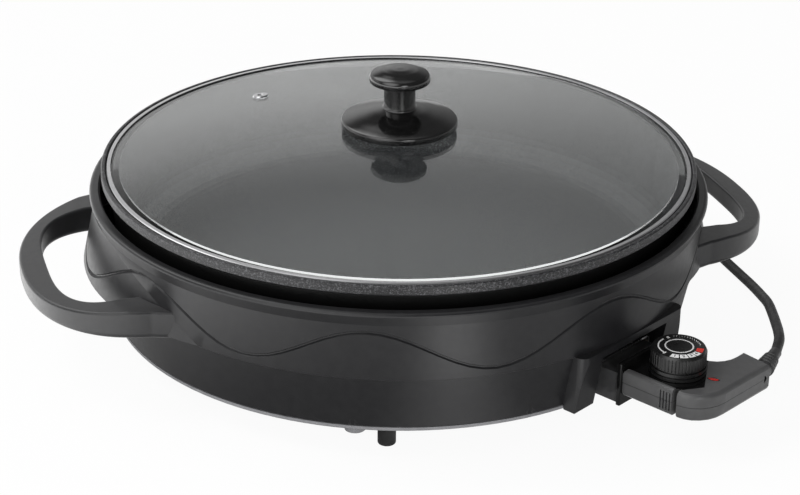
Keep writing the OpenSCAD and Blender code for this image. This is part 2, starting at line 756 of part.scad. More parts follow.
// Reflector plate and the spacers that hold it under the pan
reflector_r = rib_in_r - 3;
reflector_notch = 46;
module reflector() color([0.7, 0.7, 0.72]) at_pan() difference() {
  translate([0, 0, reflector_z]) cylinder(h = reflector_t, r = reflector_r);
  clamp_places() translate([0, 0, reflector_z - cut]) cylinder(h = reflector_t + 2 * cut, r = screw_r);
  rotate([0, 0, socket_angle]) translate([probe_boss_x - 4, -reflector_notch, reflector_z - cut])
    cube([reflector_r, 2 * reflector_notch, reflector_t + 2 * cut]);
}
module spacers() color("gray") at_pan()
  clamp_places() translate([0, 0, base_top]) ring(screw_r, 5, reflector_z - base_top);
module clamp_screws() color("silver") at_pan()
  clamp_places() translate([0, 0, foot_h]) screw(under_z - foot_h - 3);

// Socket guard: a steel hood round the contact pins, and its earth spring
guard_half = 28;
guard_t = 1;
guard_end = nose_start + 4;
guard_top = under_z - 0.5;
module socket_guard() color([0.6, 0.6, 0.62]) at_socket() difference() {
  translate([probe_boss_end, -guard_half - guard_t, base_top])
    cube([guard_end - probe_boss_end, 2 * (guard_half + guard_t), guard_top - base_top]);
  translate([probe_boss_end + guard_t, -guard_half, base_top - cut])
    cube([guard_end, 2 * guard_half, guard_top - guard_t - base_top + cut]);
  for (t = [-1, 1]) tube_x(probe_boss_end - cut, guard_end, bush_r, t * pin_y, element_z);
  tube_x(probe_boss_end - cut, guard_end, probe_d / 2 + 0.6, 0, element_z);
}
// Outline of the spring, from the guard's mouth inwards: it bows in to touch the nose
spring_t = 0.6;
spring_line = [
  [-16, guard_half], [-16, guard_half - spring_t], [-10.5, guard_half - spring_t],
  [-3.6, body_half + 0.3], [-0.6, body_half + 0.3], [-0.6, body_half + 0.3 + spring_t],
  [-3.3, body_half + 0.3 + spring_t], [-10, guard_half]
];
module earth_spring() color([0.8, 0.65, 0.35]) at_socket()
  slab([for (p = spring_line) p + [guard_end, 0]], element_z - 4, element_z + 4);

// Lid: a spherical glass in a steel channel
lid_low = seat_z + seat_air;
glass_low = lid_low + rim_t;
glass_edge_r = lid_r - rim_t - 0.1;
dome_r = lid_r - rim_w;
glass_top = glass_low + glass_t;
sphere_r = (dome_r * dome_r + glass_rise * glass_rise) / (2 * glass_rise);
sphere_z = glass_top + glass_rise - sphere_r;
apex_z = glass_top + glass_rise;
knob_hole_r = 4;
vent_hole_r = 4;
vent_bore_r = 1.8;
vent_flange_r = 5.6;
vent_flange_t = 0.8;
module dome(r, z) translate([0, z]) circle(r = r, $fn = 1440);
module lid_glass() color([0.75, 0.85, 0.85, 0.4]) difference() {
  at_pan() rotate_extrude() difference() {
    union() {
      intersection() {
        difference() {
          dome(sphere_r, sphere_z);
          dome(sphere_r, sphere_z - glass_t);
        }
        translate([0, glass_low]) square([dome_r, glass_rise + glass_t]);
      }
      translate([dome_r - 6, glass_low]) square([glass_edge_r - dome_r + 6, glass_t]);
    }
    square([knob_hole_r, rim_z + 2 * glass_rise]);
  }
  at_vent() translate([0, 0, sphere_r - 3 * glass_t]) cylinder(h = 6 * glass_t, r = vent_hole_r);
}
module at_vent() at_pan() rotate([0, 0, vent_angle])
  translate([0, 0, sphere_z]) rotate([0, asin(vent_r / sphere_r), 0]) children();
module lid_rim() color([0.85, 0.85, 0.87]) at_pan() rotate_extrude() polygon([
  [glass_edge_r - 4, lid_low], [lid_r - 0.6, lid_low], [lid_r, lid_low + 0.6],
  [lid_r, glass_top + rim_t - 0.6], [lid_r - 0.6, glass_top + rim_t], [dome_r + 0.3, glass_top + rim_t],
  [dome_r + 0.1, glass_top + rim_t - 0.3], [dome_r + 0.3, glass_top],
  [glass_edge_r, glass_top], [glass_edge_r, glass_low], [glass_edge_r - 4, glass_low]
]);
vent_under = sphere_r - glass_t - 0.1;
module steam_vent() color([0.85, 0.85, 0.87]) at_vent() rotate_extrude() polygon([
  [vent_bore_r, vent_under - vent_flange_t], [vent_flange_r, vent_under - vent_flange_t],
  [vent_flange_r, vent_under], [vent_hole_r - fit, vent_under], [vent_hole_r - fit, sphere_r],
  [vent_flange_r, sphere_r], [vent_flange_r - 0.4, sphere_r + vent_flange_t],
  [vent_bore_r + 0.5, sphere_r + vent_flange_t], [vent_bore_r, sphere_r + vent_flange_t - 0.5]
]);

// Knob: gasket, disc and a stem with its cap
disc_z = apex_z + gasket_t;
stem_z = disc_z + disc_edge + disc_rise;
cap_z = stem_z + stem_h;
knob_bore_r = 2.5;
disc_skin = 2.2;
gasket_r = 18;
module knob_gasket() color([0.2, 0.2, 0.2]) at_pan()
  translate([0, 0, apex_z]) ring(knob_bore_r, gasket_r, gasket_t);
module knob_disc() color([0.06, 0.06, 0.06]) at_pan() rotate_extrude() difference() {
  polygon(concat(
    [[knob_bore_r, disc_z], [disc_r - 0.8, disc_z], [disc_r, disc_z + 0.8]],
    arc([disc_r - 2, disc_z + disc_edge - 2], 2, 0, 70, 3),
    [[disc_r * 0.72, disc_z + disc_edge + disc_rise * 0.42],
     [disc_r * 0.46, disc_z + disc_edge + disc_rise * 0.8],
     [stem_r + 2, stem_z - 0.4], [stem_r, stem_z], [knob_bore_r, stem_z]]
  ));
  polygon([
    [20, disc_z - cut], [disc_r - 2 * disc_skin, disc_z - cut],
    [disc_r - 2 * disc_skin, disc_z + disc_edge - disc_skin],
    [22, disc_z + disc_edge + 1], [20, disc_z + disc_edge]
  ]);
}
module knob() color([0.06, 0.06, 0.06]) at_pan() rotate_extrude() polygon(concat(
  [[knob_bore_r, stem_z], [stem_r + 0.9, stem_z], [stem_r + 0.9, stem_z + 0.9], [stem_r, stem_z + 1.6],
   [stem_r, cap_z - 1.6], [stem_r + 1.6, cap_z - 0.3], [cap_r - 2, cap_z], [cap_r - 0.4, cap_z + 0.6]],
  [[cap_r, cap_z + 1.8]],
  arc([cap_r - 4, cap_z + 3.4], 4, 0, 60, 4),
  [[cap_r * 0.62, cap_z + cap_h - 1.2], [cap_r * 0.32, cap_z + cap_h - 0.3], [0, cap_z + cap_h],
   [0, cap_z - 4], [knob_bore_r, cap_z - 4]]
));
knob_washer_r = 8;
washer_z = apex_z - glass_t - 0.1 - washer_t;
module knob_washer() color("silver") at_pan()
  translate([0, 0, washer_z]) ring(knob_bore_r, knob_washer_r, washer_t);
module knob_screw() color("silver") at_pan() {
  translate([0, 0, washer_z]) cylinder(h = cap_z - 6 - washer_z, r = knob_bore_r);
  translate([0, 0, washer_z - 3]) cylinder(h = 3, r = 4.6);
}

// Controller
window_half = body_half - shell_wall;
tenon_low = ctrl_low + shell_wall;
tenon_top = element_z + 8;
cavity_top = ctrl_top - shell_wall;
slot_x = grip_x - 24.6;
slot_w = 3.6;
slot_in = 6;
slot_skin = 1.4;
vent_slot = 1.1;
tenon_end = body_x + shell_wall + 2;
post_in_r = 3.4;
post_x = tenon_end + post_in_r + 1;
post_y = 15.5;
screw_posts = [[post_x, -post_y], [post_x, post_y], [grip_x - 13, 24]];
lens_place = [grip_x - 14.5, 5];
deck_line = [
  [body_x, -body_half + 3.4], [slot_x + 0.2, -body_half + 3.4], [slot_x + slot_w + 1, -body_half + 4.6],
  [grip_x - 12.3, -7.6], [grip_x - 30.3, body_half - 1.9], [body_x, body_half - 1.9]
];
module relief_bore(r) at_relief() translate([0, 0, -12]) cylinder(h = 24, r = r);
module at_relief() translate(relief_base) rotate([0, 0, 90 + relief_tilt]) rotate([0, 90, 0]) children();
module side_slots() {
  translate([slot_x, -body_half - 5, ctrl_low - cut]) cube([slot_w, 5 + slot_in, ctrl_h + 2 * cut]);
  for (i = [0:3])
    translate([slot_x - 2.2 - 2.3 * i, -body_half - 5, ctrl_low + 3])
      cube([vent_slot, 5 + shell_wall + 1, ctrl_h - 6]);
}
// Outer form of both shells with rounded edges, and its slice between two heights
edge_round = [[-cut, 2.8], [0, 2.8], [0.3, 1.6], [1.3, 0.6], [3, 0]];
module form_slice(z0, z1) intersection() {
  loft(grip_line, concat(
    [for (e = edge_round) [ctrl_top - e[0], e[1]]],
    [for (i = [1:len(edge_round)]) let (e = edge_round[len(edge_round) - i]) [ctrl_low + e[0], e[1]]]
  ));
  translate([body_x - cut, -body_half - cut, z0])
    cube([grip_len + 2 * cut, body_half + grip_side + 6, z1 - z0]);
}
module upper_shell() color([0.28, 0.28, 0.29]) at_socket() difference() {
  union() {
    difference() {
      form_slice(seam_z, ctrl_top);
      slab(inset(grip_line, shell_wall), seam_z - cut, cavity_top);
      slab(deck_line, deck_z - deck_t, ctrl_top + cut);
      translate([body_x - cut, -window_half, seam_z - cut])
        cube([shell_wall + 2 * cut, 2 * window_half, tenon_top + fit - seam_z + cut]);
      side_slots();
    }
    intersection() {
      slab(inset(grip_line, 1), seam_z, cavity_top + 0.5);
      union() {
        for (p = screw_posts)
          translate([p.x, p.y, seam_z]) cylinder(h = cavity_top - seam_z + 0.5, r = post_in_r);
        translate([slot_x - slot_skin, -body_half, seam_z])
          cube([slot_w + 2 * slot_skin, slot_in + slot_skin, ctrl_h]);
      }
    }
  }
  translate([slot_x, -body_half - 5, seam_z - cut]) cube([slot_w, 5 + slot_in, ctrl_h]);
  translate([dial_x, 0, seam_z]) cylinder(h = 20, r = spindle_d / 2 + 1);
  for (p = screw_posts) translate([p.x, p.y, seam_z - cut]) cylinder(h = 5, r = 1.2);
  translate([lens_place.x, lens_place.y, cavity_top - cut]) cylinder(h = 8, r = 2.4);
  relief_bore(relief_root_r);
}
module lower_shell() color([0.28, 0.28, 0.29]) at_socket() difference() {
  union() {
    difference() {
      form_slice(ctrl_low, seam_z);
      slab(inset(grip_line, shell_wall), ctrl_low + shell_wall, seam_z + cut);
      translate([body_x - cut, -window_half, tenon_low])
        cube([shell_wall + 2 * cut, 2 * window_half, ctrl_h]);
      side_slots();
    }
    intersection() {
      slab(inset(grip_line, 1), ctrl_low + 1, seam_z);
      union() {
        for (p = screw_posts)
          translate([p.x, p.y, ctrl_low + 1]) cylinder(h = seam_z - ctrl_low - 1, r = post_in_r);
        translate([slot_x - slot_skin, -body_half, ctrl_low + 1])
          cube([slot_w + 2 * slot_skin, slot_in + slot_skin, seam_z - ctrl_low - 1]);
      }
    }
  }
  translate([slot_x, -body_half - 5, ctrl_low - cut]) cube([slot_w, 5 + slot_in, ctrl_h]);
  for (p = screw_posts) translate([p.x, p.y, ctrl_low - cut]) {
    cylinder(h = 4 + cut, r = 2.3);
    cylinder(h = 20, r = 1.2);
  }
  relief_bore(relief_root_r);
}
module shell_screws() color("silver") at_socket()
  for (p = screw_posts) translate([p.x, p.y, ctrl_low + 4]) {
    cylinder(h = seam_z - ctrl_low - 0.5, r = 1.2);
    translate([0, 0, -1.8]) cylinder(h = 1.8, r = 2.2);
  }
module deck_panel() color([0.02, 0.02, 0.02]) at_socket() difference() {
  slab(inset(deck_line, 0.1), deck_z - deck_t, deck_z);
  translate([dial_x, 0, deck_z - deck_t - cut]) cylinder(h = deck_t + 2 * cut, r = spindle_d / 2 + 1);
}
module pilot_lens() color([0.8, 0.1, 0.08]) at_socket() translate([lens_place.x, lens_place.y, 0]) {
  translate([0, 0, cavity_top - 1.5]) cylinder(h = ctrl_top - cavity_top + 1.5, r = 2.4 - 0.05);
  translate([0, 0, cavity_top - 2.3]) cylinder(h = 0.8, r = 3.2);
}
sleeve_r = 4.4;
sleeve_start = nose_start + 0.5;
sleeve_end = nose_start + 16;
tail_r = 1.6;
module nose() color([0.1, 0.1, 0.1]) at_socket() difference() {
  union() {
    translate([nose_start, -body_half, nose_low])
      cube([flange_start - nose_start, 2 * body_half, nose_top - nose_low]);
    translate([flange_start - cut, -window_half + fit, tenon_low + fit])
      cube([tenon_end - flange_start + cut, 2 * (window_half - fit), tenon_top - tenon_low - fit]);
  }
  for (t = [-1, 1]) {
    tube_x(nose_start - cut, sleeve_end, sleeve_r, t * pin_y, element_z);
    tube_x(sleeve_end - cut, body_x + 10, tail_r, t * pin_y, element_z);
  }
  tube_x(nose_start - cut, body_x + 10, probe_d / 2, 0, element_z);
}
flange_edge = 2;
flange_rise = 4.3;
module flange() color([0.12, 0.12, 0.12]) at_socket() difference() {
  translate([flange_start, -body_half - flange_edge, nose_low - 0.8])
    cube([flange_t, 2 * (body_half + flange_edge), ctrl_top + flange_rise - nose_low + 0.8]);
  translate([flange_start - cut, -window_half + fit, tenon_low + fit])
    cube([flange_t + 2 * cut, 2 * (window_half - fit), tenon_top - tenon_low - fit]);
}
thermostat_x = body_x + 11;
probe_end = thermostat_x + 6;
module probe() color([0.8, 0.8, 0.82]) at_socket() {
  tube_x(probe_tip + 3, probe_end, probe_d / 2, 0, element_z);
  translate([probe_tip + 3, 0, element_z]) sphere(r = probe_d / 2);
}
module contact_sleeves() color([0.8, 0.65, 0.35]) at_socket() for (t = [-1, 1]) difference() {
  union() {
    tube_x(sleeve_start, sleeve_end, sleeve_r, t * pin_y, element_z);
    tube_x(sleeve_end - cut, tenon_end - 1, tail_r, t * pin_y, element_z);
  }
  tube_x(sleeve_start - cut, pin_tip + 0.6, pin_d / 2 + 0.1, t * pin_y, element_z);
}
spindle_low = element_z + 1.5;
spindle_top = deck_z + dial_h - 4;
module thermostat() color([0.55, 0.5, 0.45]) at_socket() difference() {
  union() {
    translate([thermostat_x, -12, tenon_low]) cube([26, 24, element_z + 5 - tenon_low]);
    translate([dial_x, 0, element_z + 4]) cylinder(h = cavity_top - element_z - 4.5, r = 5);
  }
  tube_x(thermostat_x - cut, probe_end, probe_d / 2, 0, element_z);
  translate([dial_x, 0, spindle_low - 0.3]) cylinder(h = 30, r = spindle_d / 2 + spindle_gap);
}

// Dial
dial_low = deck_z + 0.4;
dial_top = deck_z + dial_h;
ring_h = 2;
groove_h = 1;
knurl_low = dial_low + 2 * (ring_h + groove_h);
knurl_top = dial_top - 2;
cap_disc_r = 8.9;
cap_disc_t = 1.2;
module at_dial() at_socket() translate([dial_x, 0, 0]) children();
module dial() color([0.05, 0.05, 0.05]) at_dial() difference() {
  rotate_extrude() polygon([
    [0, dial_low], [dial_r + 0.4, dial_low],
    [dial_r + 0.4, dial_low + ring_h], [dial_r - 0.8, dial_low + ring_h],
    [dial_r - 0.8, dial_low + ring_h + groove_h], [dial_r + 0.3, dial_low + ring_h + groove_h],
    [dial_r + 0.3, knurl_low - groove_h], [dial_r - 0.8, knurl_low - groove_h], [dial_r - 0.8, knurl_low],
    [dial_r, knurl_low], [dial_r, knurl_top], [dial_top_r + 0.3, dial_top - 0.5], [dial_top_r, dial_top],
    [0, dial_top]
  ]);
  for (i = [0:knurls - 1]) rotate([0, 0, 360 * i / knurls])
    translate([dial_r + 0.1, 0, knurl_low + 0.3]) cylinder(h = dial_h, r = 0.5, $fn = 6);
  translate([0, 0, dial_low - cut]) cylinder(h = spindle_top - dial_low + cut, r = spindle_d / 2);
  translate([0, 0, dial_top - cap_disc_t]) cylinder(h = cap_disc_t + cut, r = cap_disc_r);
}
module dial_cap() color([0.08, 0.08, 0.08]) at_dial() translate([0, 0, dial_top - cap_disc_t]) {
  cylinder(h = cap_disc_t + 0.1, r = cap_disc_r);
  cylinder(h = cap_disc_t + 0.3, r = cap_disc_r - 0.8);
}
module spindle() color("silver") at_dial()
  translate([0, 0, spindle_low]) cylinder(h = spindle_top - spindle_low, r = spindle_d / 2);

// Strain relief, lead, coil, tie and plug
relief_rings = 4;
relief_pitch = 3.8;
module strain_relief() color([0.13, 0.13, 0.13]) at_socket() at_relief() rotate_extrude() polygon(concat(
  [[0, -8], [relief_root_r, -8], [relief_root_r, 2.2]],
  [for (i = [0:relief_rings - 1]) for (q = [[0, 0], [1.1, 0.5], [1.1, 1.9], [0, 2.4]])
    [relief_root_r - 0.35 * i + q.x - 0.2, 2.2 + relief_pitch * i + q.y]],
  [[cord_r + 0.6, relief_len - 6], [cord_r + 0.4, relief_len], [0, relief_len]]
));
relief_heading = [cos(socket_angle + 90 + relief_tilt), sin(socket_angle + 90 + relief_tilt), 0];
module cord() color([0.12, 0.12, 0.12]) tube(smooth(cord_route, 2), cord_r, 8, relief_heading, [0, 1, 0]);
module cord_coil() color([0.12, 0.12, 0.12]) tube(coil_path, cord_r, 6, [0, 1, 0], [-1, 0, 0]);
module cord_tail() color([0.12, 0.12, 0.12]) tube(smooth(tail_route, 2), cord_r, 8, [-1, 0, 0], [-1, 0, 0]);
tie_angle = 225;
tie_w = 5;
tie_air = 0.3;
module cord_tie() color([0.05, 0.05, 0.05]) translate([coil_x, coil_y, 0]) rotate([0, 0, tie_angle]) {
  inner = coil_r - coil_pitch * coil_turns / 2 - cord_r - tie_air;
  outer = coil_r - coil_pitch * tie_angle / 360 + cord_r + tie_air;
  top = coil_z + coil_pitch + cord_r + tie_air;
  rotate([90, 0, 0]) linear_extrude(tie_w, center = true) difference() {
    translate([inner - tie_t, 0]) square([outer - inner + 2 * tie_t, top + tie_t]);
    translate([inner, tie_t]) square([outer - inner, top - tie_t]);
  }
}
plug_neck = 24;
plug_body = 34;
plug_pin_len = 19;
plug_pin_in = 14;
plug_pin_d = 4.8;
plug_pin_pitch = 19;
module at_plug() translate(tail_route[len(tail_route) - 1]) rotate([0, -90, 0]) children();
module plug() color([0.12, 0.12, 0.12]) at_plug() difference() {
  rotate_extrude() polygon(concat(
    [[0, 0], [cord_r + 0.8, 0], [cord_r + 2.6, plug_neck * 0.6],
     [plug_r * 0.55, plug_neck - 4], [plug_r * 0.8, plug_neck]],
    arc([plug_r - 3, plug_neck + 6], 3, -50, 0, 3),
    [[plug_r, plug_neck + plug_body - 1], [plug_r - 1, plug_neck + plug_body], [0, plug_neck + plug_body]]
  ));
  for (s = [-1, 1]) {
    translate([0, s * plug_pin_pitch / 2, plug_neck + plug_body - plug_pin_in])
      cylinder(h = plug_pin_in + cut, r = plug_pin_d / 2);
    translate([s * (plug_r - 1.5) - 2, -3, plug_neck + 14]) cube([4, 6, plug_body]);
    translate([-4, s * (plug_r - 1) - 2.5, plug_neck + 12]) cube([8, 5, plug_body]);
  }
}
module plug_pins() color([0.85, 0.82, 0.7]) at_plug()
  for (s = [-1, 1]) translate([0, s * plug_pin_pitch / 2, plug_neck + plug_body - plug_pin_in]) {
    cylinder(h = plug_pin_in + plug_pin_len - 1.5, r = plug_pin_d / 2);
    translate([0, 0, plug_pin_in + plug_pin_len - 1.5])
      cylinder(h = 1.5, r1 = plug_pin_d / 2, r2 = plug_pin_d / 2 - 1);
  }
module plug_earth() color([0.85, 0.82, 0.7]) at_plug() for (s = [-1, 1])
  translate([s * (plug_r - 3) - 0.5, -2.8, plug_neck + 14]) cube([1, 5.6, plug_body - 14]);

housing();
left_handle();
right_handle();
handle_screws();
handle_washers();
base_plate();
base_screws();
feet();
foot_screws();
pan();
heating_element();
contact_pins();
pin_bushes();
reflector();
spacers();
clamp_screws();
socket_guard();
earth_spring();
lid_glass();
lid_rim();
steam_vent();
knob_gasket();
knob_disc();
knob();
knob_screw();
knob_washer();
upper_shell();
lower_shell();
deck_panel();
nose();
flange();
probe();
contact_sleeves();
thermostat();
pilot_lens();
shell_screws();
strain_relief();
cord();
cord_coil();
cord_tail();
cord_tie();
plug();
plug_pins();
plug_earth();
dial();
dial_cap();
spindle();
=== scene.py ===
# %% [markdown]
# An electric skillet: a cast pan in a plastic housing with two loop handles, a lift-off glass lid with a
# knob, and a plug-in controller with a dial and a lead. The exact solids come from a imported frame. This
# file gives them their finishes, rounds their edges and adds what repeats or bends.
# The first cell loads the frame, keeps its solids and its record, and measures the pan.

# %% Load the frame
import json
import math
import bmesh
import bpy
from mathutils import Matrix, Vector


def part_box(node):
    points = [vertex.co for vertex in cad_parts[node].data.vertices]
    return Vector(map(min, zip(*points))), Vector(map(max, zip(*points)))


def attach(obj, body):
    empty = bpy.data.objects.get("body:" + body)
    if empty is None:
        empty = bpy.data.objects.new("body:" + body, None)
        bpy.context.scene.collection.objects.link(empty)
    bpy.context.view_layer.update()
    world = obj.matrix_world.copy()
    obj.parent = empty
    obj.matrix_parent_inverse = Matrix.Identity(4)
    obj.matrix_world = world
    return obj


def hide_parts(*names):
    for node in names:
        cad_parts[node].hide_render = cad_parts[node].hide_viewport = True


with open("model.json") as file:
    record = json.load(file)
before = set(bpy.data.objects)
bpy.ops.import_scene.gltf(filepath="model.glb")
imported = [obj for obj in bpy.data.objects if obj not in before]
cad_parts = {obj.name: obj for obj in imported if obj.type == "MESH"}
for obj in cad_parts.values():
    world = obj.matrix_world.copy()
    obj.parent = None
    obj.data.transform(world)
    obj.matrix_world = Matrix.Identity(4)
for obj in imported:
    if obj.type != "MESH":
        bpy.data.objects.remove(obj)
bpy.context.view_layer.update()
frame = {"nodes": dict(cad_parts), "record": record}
nodes = frame["nodes"]
mm = 0.001
pan_low, pan_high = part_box("pan")
pan_y = (pan_low.y + pan_high.y) / 2
rim_z = pan_high.z
print("nodes", len(nodes), "pan axis at y =", round(pan_y, 4), "rim at z =", round(rim_z, 4))

# %% [markdown]
# The camera. The photograph was taken with a long lens from the front left, about 25 degrees above the
# table. A camera can be aimed by eye, but the round rims show the smallest mistake, so this one was fitted to
# them. Its place is given from the lid's centre: so far back, so far aside, so far down. A slight roll
# completes it. The lens comes from the focal length in pixels, for an image 800 pixels wide.

# %% Camera
azimuth = -0.30543
elevation = 0.4388
roll = 0.01145
distance = 1.4
move_right = 0.00136634
move_down = 0.06223234
focal_pixels = 2070.607
image_width = 800
sensor_width = 36

flat_part = math.cos(elevation)
back = Vector((math.sin(azimuth) * flat_part, -math.cos(azimuth) * flat_part, math.sin(elevation)))
right = Vector((math.cos(azimuth), math.sin(azimuth), 0))
up = right.cross(-back)
camera_place = Vector((0, pan_y, rim_z)) + back * distance + right * move_right - up * move_down
camera_right = right * math.cos(roll) + up * math.sin(roll)
camera_up = up * math.cos(roll) - right * math.sin(roll)
camera_turn = Matrix((camera_right, camera_up, back)).transposed().to_4x4()

camera_data = bpy.data.cameras.new("photo_camera")
camera_data.sensor_width = sensor_width
camera_data.sensor_fit = "HORIZONTAL"
camera_data.lens = focal_pixels / image_width * sensor_width
camera_data.clip_start = 0.05
camera_data.clip_end = 50
camera = bpy.data.objects.new("photo_camera", camera_data)
bpy.context.scene.collection.objects.link(camera)
camera.matrix_world = Matrix.Translation(camera_place) @ camera_turn
bpy.context.scene.camera = camera
print("lens", round(camera_data.lens, 2), "mm, camera at", [round(v, 3) for v in camera_place])

# %% [markdown]
# Helpers for shader nodes. A material and the world each hold a tree of nodes, and these few functions build
# both. They could be built by hand in the editor, but a script makes many finishes in the same way. A value
# goes to a node's setting or input by its name.

# %% Node helpers
def join(owner, source, target):
    owner.node_tree.links.new(source, target)


def add_node(owner, kind, **values):
    """A new node. Each value goes to the setting of that name, or else to the input."""
    node = owner.node_tree.nodes.new(kind)
    for name, value in values.items():
        if hasattr(node, name):
            setattr(node, name, value)
        else:
            node.inputs[name.replace("_", " ")].default_value = value
    return node


def slope(owner, source, start, end, low=0.0, high=1.0, kind="SMOOTHSTEP"):
    """Go from low to high while the source goes from start to end."""
    node = add_node(owner, "ShaderNodeMapRange", interpolation_type=kind,
                    From_Min=start, From_Max=end, To_Min=low, To_Max=high)
    join(owner, source, node.inputs["Value"])
    return node.outputs["Result"]


def object_place(material):
    return add_node(material, "ShaderNodeTexCoord").outputs["Object"]


print("node helpers ready")

# %% [markdown]
# Helpers for finishes. Moulded and cast things are even from afar and a little uneven close by. A picture
# could be wrapped round each piece, but noise on Object coordinates needs no unwrapping and stays on the
# piece when the piece moves. So each finish is a Principled shader: what is even all over is set on the
# shader's own sockets, and speckles, grain and a slight change of gloss come from noise textures.

# %% Finish helpers
noise_low = 0.35
noise_high = 0.65
grain_depth = 0.0001


def shader_of(material):
    return material.node_tree.nodes["Principled BSDF"]


def new_finish(name, colour, roughness, metallic=0.0):
    material = bpy.data.materials.new(name)
    material.use_nodes = True
    shader = shader_of(material)
    shader.inputs["Base Color"].default_value = (*colour, 1)
    shader.inputs["Roughness"].default_value = roughness
    shader.inputs["Metallic"].default_value = metallic
    return material


def noise(material, scale, detail=2.0, stretch=(1, 1, 1)):
    mapping = add_node(material, "ShaderNodeMapping", Scale=stretch)
    texture = add_node(material, "ShaderNodeTexNoise", Scale=scale, Detail=detail)
    join(material, object_place(material), mapping.inputs["Vector"])
    join(material, mapping.outputs["Vector"], texture.inputs["Vector"])
    return texture.outputs["Fac"]


def ramp(material, fac, stops):
    node = add_node(material, "ShaderNodeValToRGB")
    for point, (place, colour) in zip(node.color_ramp.elements, stops):
        point.position = place
        point.color = (*colour, 1)
    join(material, fac, node.inputs["Fac"])
    return node.outputs["Color"]


def add_grain(material, scale, strength):
    bump = add_node(material, "ShaderNodeBump", Strength=strength, Distance=grain_depth)
    join(material, noise(material, scale), bump.inputs["Height"])
    join(material, bump.outputs["Normal"], shader_of(material).inputs["Normal"])


def vary_roughness(material, scale, low, high, stretch=(1, 1, 1)):
    spread = noise(material, scale, detail=3.0, stretch=stretch)
    rough = slope(material, spread, noise_low, noise_high, low, high, kind="LINEAR")
    join(material, rough, shader_of(material).inputs["Roughness"])


def vary_colour(material, scale, dark, light):
    colour = ramp(material, noise(material, scale, detail=4.0), [(noise_low, dark), (noise_high, light)])
    join(material, colour, shader_of(material).inputs["Base Color"])


print("finish helpers ready")

# %% [markdown]
# The moulded plastics. The housing and the handles are a dark grey thermoplastic with a satin gloss, the
# controller is a little lighter and duller, and knob, deck and dial are black and shinier. One flat colour
# would look like a drawing, so colour and gloss vary a little, and a very fine grain breaks the shine.
# A little sheen stands for the satin texture, which looks paler where it is seen at a low angle.

# %% Plastics
tint_scale = 180
gloss_scale = 240
sheen_spread = 0.35


def grey(level, blue=None):
    """A grey, or one with its own level of blue."""
    return level, level, level if blue is None else blue


def plastic(name, dark, light, rough, grain, sheen=0.0, shine=0.5):
    """rough: lowest and highest roughness. grain: its scale and its strength."""
    material = new_finish(name, light, rough[1])
    shader = shader_of(material)
    shader.inputs["Sheen Weight"].default_value = sheen
    shader.inputs["Sheen Roughness"].default_value = sheen_spread
    shader.inputs["Specular IOR Level"].default_value = shine
    vary_colour(material, tint_scale, dark, light)
    vary_roughness(material, gloss_scale, *rough)
    add_grain(material, *grain)
    return material


housing_plastic = plastic("housing_plastic", grey(0.010, 0.011), grey(0.013, 0.014), (0.29, 0.34),
                          (2600, 0.05), sheen=0.05)
handle_plastic = plastic("handle_plastic", grey(0.012, 0.013), grey(0.016, 0.017), (0.30, 0.36),
                         (2600, 0.06), sheen=0.30, shine=0.7)
nose_plastic = plastic("nose_plastic", grey(0.040, 0.041), grey(0.048, 0.049), (0.16, 0.24), (2600, 0.04))
controller_plastic = plastic("controller_plastic", grey(0.050, 0.051), grey(0.060, 0.061), (0.32, 0.40),
                             (2200, 0.12), sheen=0.40, shine=0.75)
knob_plastic = plastic("knob_plastic", grey(0.004), grey(0.006), (0.09, 0.13), (2600, 0.02),
                       sheen=0.03, shine=1.0)
deck_plastic = plastic("deck_plastic", grey(0.003), grey(0.005), (0.10, 0.16), (2600, 0.02))
dial_plastic = plastic("dial_plastic", grey(0.005), grey(0.008), (0.26, 0.34), (2600, 0.05), shine=0.8)
plug_plastic = plastic("plug_plastic", grey(0.012), grey(0.018), (0.40, 0.50), (1800, 0.15))
foot_rubber = plastic("foot_rubber", grey(0.010), grey(0.016), (0.55, 0.70), (1500, 0.25))
cord_rubber = plastic("cord_rubber", grey(0.012), grey(0.018), (0.42, 0.52), (1500, 0.20))
relief_rubber = plastic("relief_rubber", grey(0.020, 0.021), grey(0.026, 0.027), (0.28, 0.36), (1800, 0.08),
                        sheen=0.12, shine=0.8)
print("plastics", [m.name for m in bpy.data.materials if m.name.endswith(("plastic", "rubber"))])

# %% [markdown]
# Some finishes change at a certain place. That place is worked out by arithmetic nodes. The helpers for it
# take numbers and other nodes' outputs alike, so that it reads like a formula, not like a list of links.

# %% Arithmetic with nodes
def feed(owner, node, terms):
    """Give the node's inputs, in their order, a number or another node's output each."""
    for socket, term in zip(node.inputs, terms):
        if isinstance(term, bpy.types.NodeSocket):
            join(owner, term, socket)
        else:
            socket.default_value = term
    return node


def number_step(owner, operation, *terms):
    """One step of arithmetic on numbers."""
    return feed(owner, add_node(owner, "ShaderNodeMath", operation=operation), terms).outputs[0]


def parts_of(owner, vector):
    return feed(owner, add_node(owner, "ShaderNodeSeparateXYZ"), (vector,)).outputs


def lay_over(material, share, colour):
    """Show another base colour wherever the share is 1."""
    mix = add_node(material, "ShaderNodeMix", data_type="RGBA", B=(*colour, 1))
    base = shader_of(material).inputs["Base Color"]
    join(material, share, mix.inputs["Factor"])
    join(material, base.links[0].from_socket, mix.inputs["A"])
    join(material, mix.outputs["Result"], base)


print("arithmetic helpers ready")

# %% [markdown]
# The controller's two shells meet in a thin dark line. It could be a real groove, but at less than half a
# millimetre a colour does as well: Compare finds the one height, and the dark colour shows there.

# %% Seam of the shells
seam_half = 0.00022
seam_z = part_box("upper_shell")[0].z
shell_place = parts_of(controller_plastic, object_place(controller_plastic))
seam_here = number_step(controller_plastic, "COMPARE", shell_place["Z"], seam_z, seam_half)
lay_over(controller_plastic, seam_here, grey(0.002))
print("seam at z =", round(seam_z, 4))

